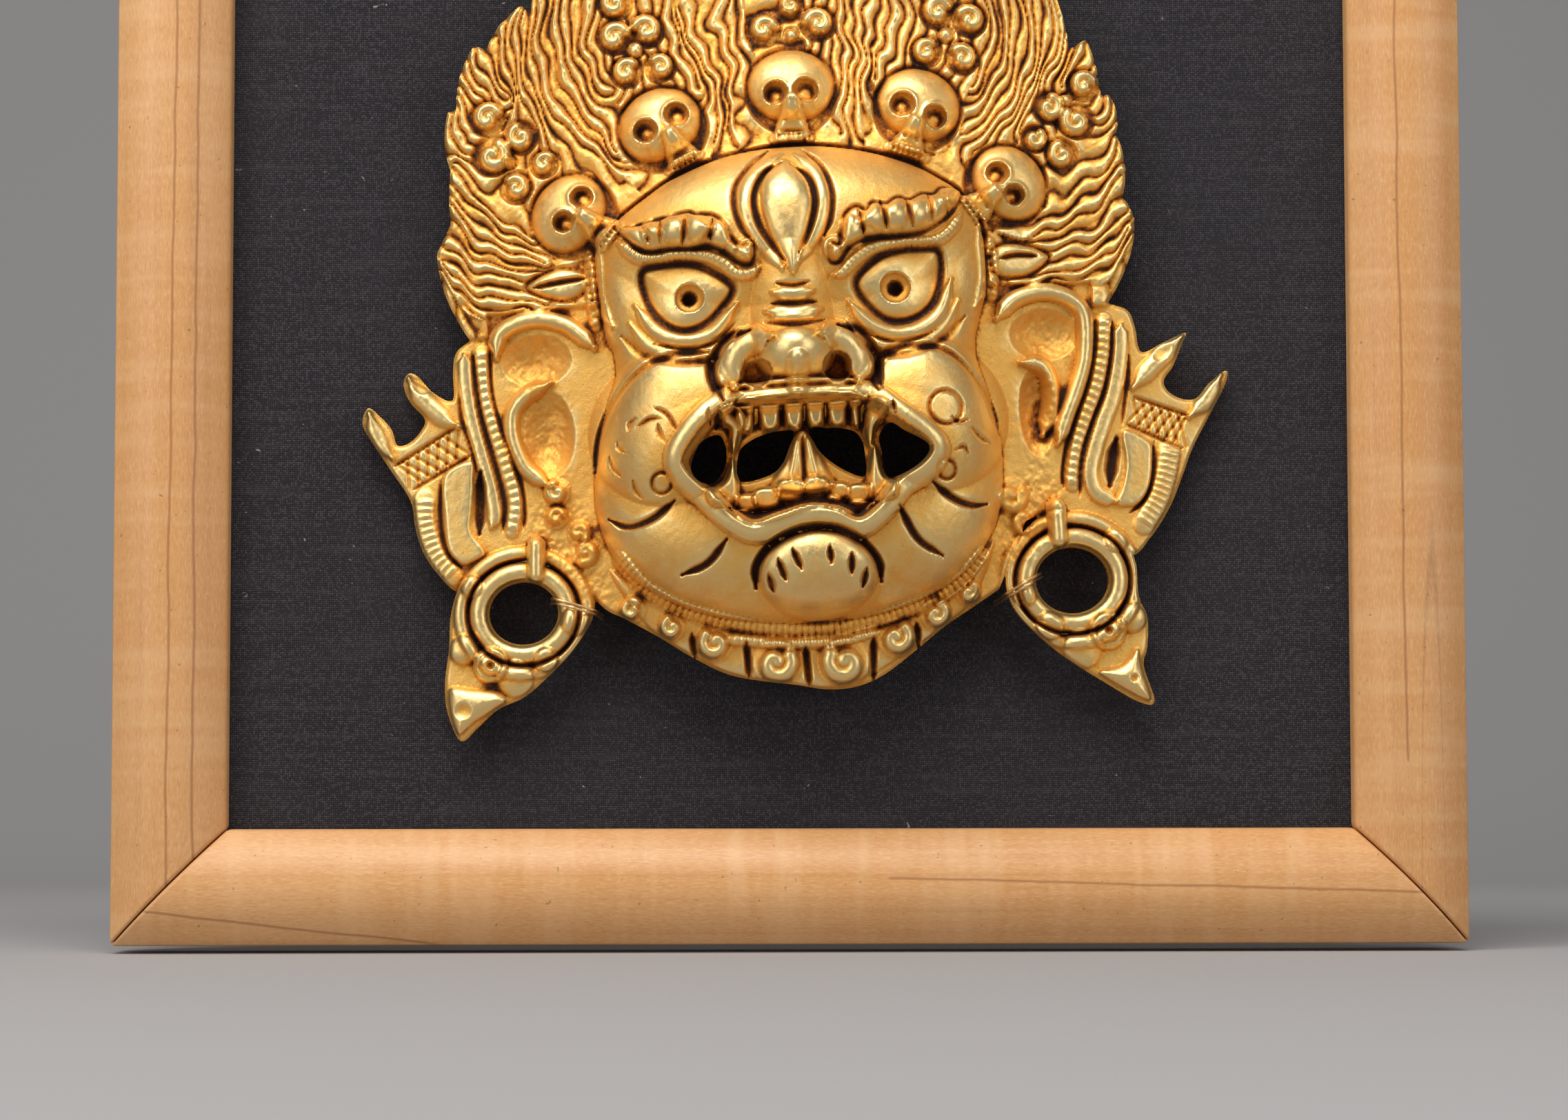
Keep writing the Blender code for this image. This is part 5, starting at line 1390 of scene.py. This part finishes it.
# each leaf: outline and the slit along it
leaves = [([(-54, 7.2), (-48, 10.4), (-42.4, 9.4), (-41.8, 5.6), (-47, 3.8)],
           [(-52.4, 7), (-47, 7.6), (-42, 8)]),
          ([(42, 5), (42.2, 9.6), (47.5, 10.8), (54, 8), (50, 4.2), (45, 3.6)],
           [(43.6, 7.6), (47, 8.2), (51.4, 8)])]
beads = [(-29, 55, 1.7), (35.4, 55, 1.7), (3.4, 56.2, 1.5), (-56.2, 33.4, 1.4), (59.6, 40.4, 1.4)]
ribbedEdges = [[(-40.5, 13), (-40.8, 6), (-40.2, -2)], [(41.5, 11), (41.9, 6), (41.5, 0)]]


def carveCurls(relief):
    for u, v, radius, start, hand in curls:
        relief.curl(u, v, radius, 1.0, start, hand, 2.6)
    for u, v, radius in beads:
        relief.dome((u, v), (radius, radius), 2.6)
    for line in ribbedEdges:
        relief.ridge(line, 1.3, 1.6, 0.6, ribs=1.6, ribDepth=0.5)
    for outline, slit in leaves:
        relief.plateau(outline, 2.2, 2.4)
        relief.groove(slit, 0.8, 1.6)


# Cast skin: reaches of the brushes and sizes of the bumps in millimetres, and how much each adds

skin = {
    "hollowReach": 2.4,
    "roughReach": 0.8,
    "nearReach": 0.6,
    "broadReach": 2.2,
    "crackReach": 1.2,
    "bumps": (1.1, 0.6),
    "polishedBumps": 0.035,
    "castBumps": 0.19,
    "patina": {"all": 0.16, "cracks": 0.43, "near": 0.30, "broad": 0.08},
    "polish": {"all": 0.42, "near": 1.0, "broad": 0.40, "rough": 0.7},
}


def finishSkin(relief):
    # wear, rounded rims, and the maps of brown and of polish for the gilding
    pitch = relief.pitch
    relief.rough = blur(relief.rough, round(skin["roughReach"] / pitch))
    coarse, fine = skin["bumps"]
    wear = grain(relief.u.shape, pitch, coarse, 11) + 0.7 * grain(relief.u.shape, pitch, fine, 12)
    relief.height += (skin["polishedBumps"] + skin["castBumps"] * relief.rough) * wear
    edge = mask["edgeRound"]
    relief.height -= edge * (1 - np.clip(relief.depth / edge, 0, 1)) ** 2
    relief.height = np.maximum(relief.height, relief.inner + mask["leastWall"])
    near = blur(relief.height, round(skin["nearReach"] / pitch)) - relief.height
    broad = blur(relief.height, round(skin["broadReach"] / pitch)) - relief.height
    reach = round(skin["crackReach"] / pitch)
    crack = brushed(brushed(relief.height, reach, np.maximum), reach, np.minimum) - relief.height
    share = skin["patina"]
    brown = share["all"] + share["cracks"] * blur(crack, 1)
    brown = brown + share["near"] * near + share["broad"] * broad
    relief.patina = np.clip(brown + relief.stain, 0, 1)
    share = skin["polish"]
    bright = np.clip(share["all"] - share["near"] * near - share["broad"] * broad, 0, 1)
    relief.polish = bright * (1 - share["rough"] * relief.rough)


def carveMask(pitch):
    relief = Relief(pitch)
    for carve in (carveGround, carveHair, carveFaceForms, carveSkulls, carveThirdEye, carveBrows,
                  carveEyes, carveNose, carveMouth, carveCheeks, carveBeard, carveEars, carveSides,
                  carveRings, carveCurls):
        carve(relief)
    body = relief.height.copy()
    hollow = blur(body, round(skin["hollowReach"] / pitch)) - mask["wall"]
    relief.inner = np.maximum(np.minimum(hollow, body - mask["rimWall"]), mask["behind"])
    relief.depth = castingDepth(relief.u, relief.v)
    finishSkin(relief)
    return relief


# Gilt surface

giltTones = {
    "gold": (0.89, 0.55, 0.15),
    "deepGold": (0.84, 0.47, 0.11),
    "polished": (0.89, 0.66, 0.28),
    "amber": (0.84, 0.43, 0.075),
    "brown": (0.36, 0.12, 0.025),
    "black": (0.05, 0.018, 0.008),
    "pit": (0.22, 0.10, 0.04),
}


def giltMaterial():
    gilt = Nodes("gilt copper alloy")
    patina = gilt.attribute("patina")
    polish = gilt.attribute("polish")
    blotch = gilt.noise(120.0, 5, 0.62)
    speck = gilt.noise(1500.0, 3, 0.65)
    drift = gilt.noise(28.0, 3, 0.5)
    age = gilt.math("ADD", patina, gilt.span(blotch, 0.3, 0.7, -0.16, 0.16))
    age = gilt.math("ADD", age, gilt.span(speck, 0.3, 0.7, -0.10, 0.12))
    shine = gilt.math("ADD", polish, gilt.span(blotch, 0.3, 0.7, 0.12, -0.16))
    base = gilt.mix(gilt.span(drift, 0.35, 0.65), giltTones["gold"], giltTones["deepGold"])
    base = gilt.mix(gilt.span(shine, 0.42, 0.85), base, giltTones["polished"])
    base = gilt.mix(gilt.span(age, 0.28, 0.52), base, giltTones["amber"])
    base = gilt.mix(gilt.span(age, 0.52, 0.76), base, giltTones["brown"])
    base = gilt.mix(gilt.span(age, 0.76, 0.98), base, giltTones["black"])
    base = gilt.mix(gilt.span(speck, 0.66, 0.74, 0, 0.5), base, giltTones["pit"])
    rough = gilt.span(shine, 0.35, 0.85, 0.54, 0.38)
    rough = gilt.math("ADD", rough, gilt.span(age, 0.5, 0.95, 0.0, 0.30))
    rough = gilt.math("ADD", rough, gilt.span(speck, 0.3, 0.75, -0.04, 0.10))
    metal = gilt.span(age, 0.7, 0.97, 1.0, 0.4)
    pits = gilt.noise(2600.0, 3, 0.7)
    dents = gilt.noise(420.0, 2, 0.5)
    depth = gilt.math("MULTIPLY", pits, gilt.span(shine, 0.3, 0.9, 1.0, 0.25))
    normal = gilt.bump(dents, 0.00016, 0.5, gilt.bump(depth, 0.00012, 0.9))
    return gilt.finish(Base_Color=base, Roughness=rough, Metallic=metal, Normal=normal)


# Pieces of the casting: each a window of the relief with its own share of the cells

seams = {
    "hairFoot": 2,
    "sideStart": 36,
    "waist": -19.2,          # across the face, level to waistFlat and rising from there
    "waistFlat": 14,
    "waistSlope": 0.25,
    "partingV": [34, 42, 50, 58, 66, 80, 100, 113],
    "partingU": [-9, -9.5, -8.5, -10, -9, -9, -6, -0.5],
    "backStep": 4,           # cells of the sheet to one of the hollow side
}


def pieceShares(relief):
    u = (relief.u[:-1, :-1] + relief.u[1:, 1:]) / 2
    v = (relief.v[:-1, :-1] + relief.v[1:, 1:]) / 2
    inFace = insideDepth(smoothLine(faceOutline, 4, closed=True), u, v) > 0
    waist = seams["waist"] + seams["waistSlope"] * np.clip(np.abs(u) - seams["waistFlat"], 0, 30)
    upper = v > seams["hairFoot"]
    parting = np.interp(v, seams["partingV"], seams["partingU"])
    side = seams["sideStart"]
    return {
        "mask_face_upper": inFace & (v > waist),
        "mask_face_lower": inFace & (v <= waist),
        "mask_hair_left": ~inFace & upper & (u < parting),
        "mask_hair_right": ~inFace & upper & (u >= parting),
        "mask_side_left": ~inFace & ~upper & (u < -side),
        "mask_side_right": ~inFace & ~upper & (u > side),
        "mask_beard": ~inFace & ~upper & (np.abs(u) <= side),
    }


def solidCells(depth):
    # grid cells that lie in the casting, with no two that meet only at a corner
    cells = depth[:-1, :-1] + depth[1:, :-1] + depth[:-1, 1:] + depth[1:, 1:] > 0
    a, b, c, d = cells[:-1, :-1], cells[:-1, 1:], cells[1:, :-1], cells[1:, 1:]
    while True:
        rising = a & d & ~b & ~c
        falling = b & c & ~a & ~d
        if not rising.any() and not falling.any():
            return cells
        b |= rising
        a |= falling


def labelCells(relief, cells):
    # shares the cells out so that no piece touches itself only at a corner
    names = []
    labels = np.full(cells.shape, -1)
    for index, (name, share) in enumerate(pieceShares(relief).items()):
        names.append(name)
        labels[share & cells] = index
    a, b, c, d = labels[:-1, :-1], labels[:-1, 1:], labels[1:, :-1], labels[1:, 1:]
    for _ in range(40):
        rising = (a == d) & (a >= 0) & (b != a) & (c != a)
        useB = rising & (b >= 0)
        useC = rising & (b < 0)
        b[useB] = a[useB]
        c[useC] = a[useC]
        falling = (b == c) & (b >= 0) & (a != b) & (d != b)
        useA = falling & (a >= 0)
        useD = falling & (a < 0)
        a[useA] = b[useA]
        d[useD] = b[useD]
        if not rising.any() and not falling.any():
            break
    return names, labels


def settleOutline(relief, cells):
    # grid points beside the casting's outline slide onto it
    inside = np.zeros(relief.u.shape, int)
    for rows, columns in ((0, 0), (0, 1), (1, 0), (1, 1)):
        inside[rows:rows + cells.shape[0], columns:columns + cells.shape[1]] += cells
    edge = (inside > 0) & (inside < 4)
    slopeV, slopeU = np.gradient(relief.depth, relief.pitch)
    u, v = relief.u[edge], relief.v[edge]
    for _ in range(2):
        depth = relief.at(relief.depth, u, v)
        gu, gv = relief.at(slopeU, u, v), relief.at(slopeV, u, v)
        slope = np.maximum(gu * gu + gv * gv, 0.25)
        u, v = u - depth * gu / slope, v - depth * gv / slope
    front, back = relief.height.copy(), relief.inner.copy()
    front[edge] = relief.at(relief.height, u, v)
    back[edge] = relief.at(relief.inner, u, v)
    us, vs = relief.u.copy(), relief.v.copy()
    us[edge], vs[edge] = u, v
    return us, vs, front, back


def toWorld(u, v, h):
    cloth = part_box("backing_cloth")
    middle = (cloth[0][2] + cloth[1][2]) / 2 - mask["drop"]
    across, upward = u * millimetre, v * millimetre
    x = mask["shift"] + across * math.cos(mask["tilt"]) - upward * math.sin(mask["tilt"])
    z = middle + across * math.sin(mask["tilt"]) + upward * math.cos(mask["tilt"])
    return np.stack([x, cloth[0][1] - h * millimetre, z], -1)


def thinBack(body, rows, columns):
    # the hollow side is plain, so its points gather into wider cells away from the edges
    step = seams["backStep"]
    clusters = {}
    for vertex in body.verts:
        if vertex.co.z > 0.5 or any(edge.verts[0].co.z != edge.verts[1].co.z for edge in vertex.link_edges):
            continue
        column = round((vertex.co.x + 1) / 2 * columns)
        row = round((vertex.co.y + 1) / 2 * rows)
        reach = abs(column % step - step / 2) + abs(row % step - step / 2)
        clusters.setdefault((column // step, row // step), []).append((reach, vertex))
    targets = {}
    for members in clusters.values():
        keeper = min(members, key=lambda member: member[0])[1]
        for reach, vertex in members:
            if vertex is not keeper:
                targets[vertex] = keeper
    bmesh.ops.weld_verts(body, targetmap=targets)


def frontNormals(places):
    # one set of normals for all the pieces, so that their seams don't show
    surface = toWorld(places[0], places[1], places[2])
    acrossSteps = np.gradient(surface, axis=1)
    upSteps = np.gradient(surface, axis=0)
    normals = np.cross(acrossSteps, upSteps)
    return normals / np.maximum(np.linalg.norm(normals, axis=-1, keepdims=True), 1e-12)


def sheetMesh(name, kept, rows, columns):
    # a closed sheet of cells: z is 0 on the hollow side and 1 in front
    body = bmesh.new()
    bmesh.ops.create_grid(body, x_segments=columns, y_segments=rows, size=1)
    outside = [face for face, keep in zip(body.faces, kept.ravel()) if not keep]
    bmesh.ops.delete(body, geom=outside, context="FACES")
    smoothFaces(body)
    for edge in body.edges:
        if edge.is_boundary:
            edge.smooth = False
    made = bmesh.ops.extrude_face_region(body, geom=body.faces[:])["geom"]
    for vertex in vertsOf(made):
        vertex.co.z = 1
    thinBack(body, rows, columns)
    bmesh.ops.recalc_face_normals(body, faces=body.faces[:])
    return meshFrom(body, name)


def setNormals(mesh, front, row, column, normals):
    # faces wholly in front take the carving's normals, the rest keep their own
    corners = np.empty(len(mesh.loops), int)
    mesh.loops.foreach_get("vertex_index", corners)
    sizes = np.empty(len(mesh.polygons), int)
    mesh.polygons.foreach_get("loop_total", sizes)
    starts = np.concatenate([[0], np.cumsum(sizes)[:-1]])
    faceFront = np.minimum.reduceat(front[corners].astype(int), starts) == 1
    onFront = np.repeat(faceFront, sizes)
    directions = np.where(onFront[:, None], normals[row[corners], column[corners]], 0.0)
    mesh.normals_split_custom_set(directions.tolist())


def buildPiece(name, relief, places, normals, cells, material):
    filled = np.argwhere(cells)
    (r0, c0), (r1, c1) = filled.min(0), filled.max(0) + 1
    rows, columns = int(r1 - r0), int(c1 - c0)
    mesh = sheetMesh(name, cells[r0:r1, c0:c1], rows, columns)
    spots = np.empty(3 * len(mesh.vertices))
    mesh.vertices.foreach_get("co", spots)
    spots = spots.reshape(-1, 3)
    column = np.rint((spots[:, 0] + 1) / 2 * columns).astype(int) + c0
    row = np.rint((spots[:, 1] + 1) / 2 * rows).astype(int) + r0
    front = spots[:, 2] > 0.5
    us, vs, fronts, backs = (values[row, column] for values in places)
    mesh.vertices.foreach_set("co", toWorld(us, vs, np.where(front, fronts, backs)).ravel())
    for attribute, values in (("patina", relief.patina), ("polish", relief.polish)):
        layer = mesh.attributes.new(attribute, "FLOAT", "POINT")
        layer.data.foreach_set("value", np.where(front, values[row, column], 0.5))
    mesh.update()
    setNormals(mesh, front, row, column, normals)
    newObject(name, mesh, material, "gilt", "mask")
    print(name, len(mesh.polygons), "faces")


relief = carveMask(mask["pitch"])
print("mask carved")
solid = solidCells(relief.depth)
names, labels = labelCells(relief, solid)
places = settleOutline(relief, solid)
normals = frontNormals(places)
gilt = giltMaterial()
for index, name in enumerate(names):
    buildPiece(name, relief, places, normals, labels == index, gilt)
print("mask built")


# Tie wires: two fine strands round the rim of each ring and through the board

ties = {
    "ends": {"left": ((-52.6, -57.3), (-42.3, -60.9)), "right": ((49.3, -57.3), (39.3, -62.6))},
    "radius": 0.31,
    "apart": 0.74,
    "clear": 0.3,
    "sides": 10,
    "steps": 40,
    "behindBoard": 0.9,
    "tuck": 0.4,          # share of the tie's length that each end turns back behind the board
}
wireTones = {"bright": (0.80, 0.60, 0.33), "dull": (0.48, 0.32, 0.16)}


def wireMaterial():
    wire = Nodes("dull brass wire")
    stain = wire.noise(900.0, 3, 0.6)
    base = wire.mix(wire.span(stain, 0.35, 0.7), wireTones["bright"], wireTones["dull"])
    return wire.finish(Base_Color=base, Metallic=1.0, Roughness=wire.span(stain, 0.3, 0.7, 0.28, 0.5))


def highestNear(relief, u, v, reach):
    # top of the casting under a strand; nothing where it crosses open cloth
    around = [(u + a, v + b) for a in (-reach, 0, reach) for b in (-reach, 0, reach)]
    heights = [float(relief.at(relief.height, a, b)) for a, b in around
               if relief.at(relief.depth, a, b) > -0.1]
    return max(heights, default=0)


def tieRoute(relief, start, end, offset):
    # pulled tight over whatever lies between its two holes
    start, end = np.array(start), np.array(end)
    run = end - start
    aside = np.array([-run[1], run[0]]) / math.hypot(*run)
    shares = np.linspace(0, 1, ties["steps"] + 1)
    spots = start + shares[:, None] * run + offset * aside
    clear = ties["radius"] + ties["clear"]
    rises = np.full(len(shares), clear)
    for index in range(1, len(shares) - 1):
        rises[index] = highestNear(relief, *spots[index], 0.3) + clear
    taut = rises.copy()
    for i in range(1, len(shares) - 1):
        for a in range(i):
            for b in range(i + 1, len(shares)):
                share = (shares[i] - shares[a]) / (shares[b] - shares[a])
                taut[i] = max(taut[i], rises[a] + (rises[b] - rises[a]) * share)
    return toWorld(spots[:, 0], spots[:, 1], taut)


def makeTube(body, route, radius, sides):
    # a ring of points carried along the route, capped at both ends
    route = [Vector(point) for point in route]
    ring = bmesh.ops.create_circle(body, cap_ends=True, cap_tris=False, segments=sides,
                                   radius=radius)["verts"]
    cap = ring[0].link_faces[0]
    previous, here = Vector((0, 0, 1)), Vector((0, 0, 0))
    for index, point in enumerate(route):
        before = route[max(index - 1, 0)]
        after = route[min(index + 1, len(route) - 1)]
        heading = (after - before).normalized()
        if index:
            grown = bmesh.ops.extrude_face_region(body, geom=[cap])["geom"]
            if index > 1:
                bmesh.ops.delete(body, geom=[cap], context="FACES_ONLY")
            ring = vertsOf(grown)
            cap = next(item for item in grown if isinstance(item, bmesh.types.BMFace))
        bmesh.ops.translate(body, vec=-here, verts=ring)
        turn = previous.rotation_difference(heading).to_matrix()
        bmesh.ops.rotate(body, cent=(0, 0, 0), matrix=turn, verts=ring)
        bmesh.ops.translate(body, vec=point, verts=ring)
        previous, here = heading, point


def makeTie(relief, hand, start, end, material):
    body = bmesh.new()
    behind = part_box("backing_board")[1][1] + ties["behindBoard"] * millimetre
    for offset in (-ties["apart"] / 2, ties["apart"] / 2):
        front = tieRoute(relief, start, end, offset)
        shares = (ties["tuck"], 0, 1, 1 - ties["tuck"])
        hidden = [front[0] + (front[-1] - front[0]) * share for share in shares]
        for point in hidden:
            point[1] = behind
        route = [*hidden[:2], *front, *hidden[2:]]
        makeTube(body, route, ties["radius"] * millimetre, ties["sides"])
    bmesh.ops.recalc_face_normals(body, faces=body.faces[:])
    smoothFaces(body)
    node = "wire_tie_" + hand
    newObject("tie_strands_" + hand, meshFrom(body, node), material, "wire", node)


wire = wireMaterial()
for hand, (start, end) in ties["ends"].items():
    makeTie(relief, hand, start, end, wire)
print("tie wires made")
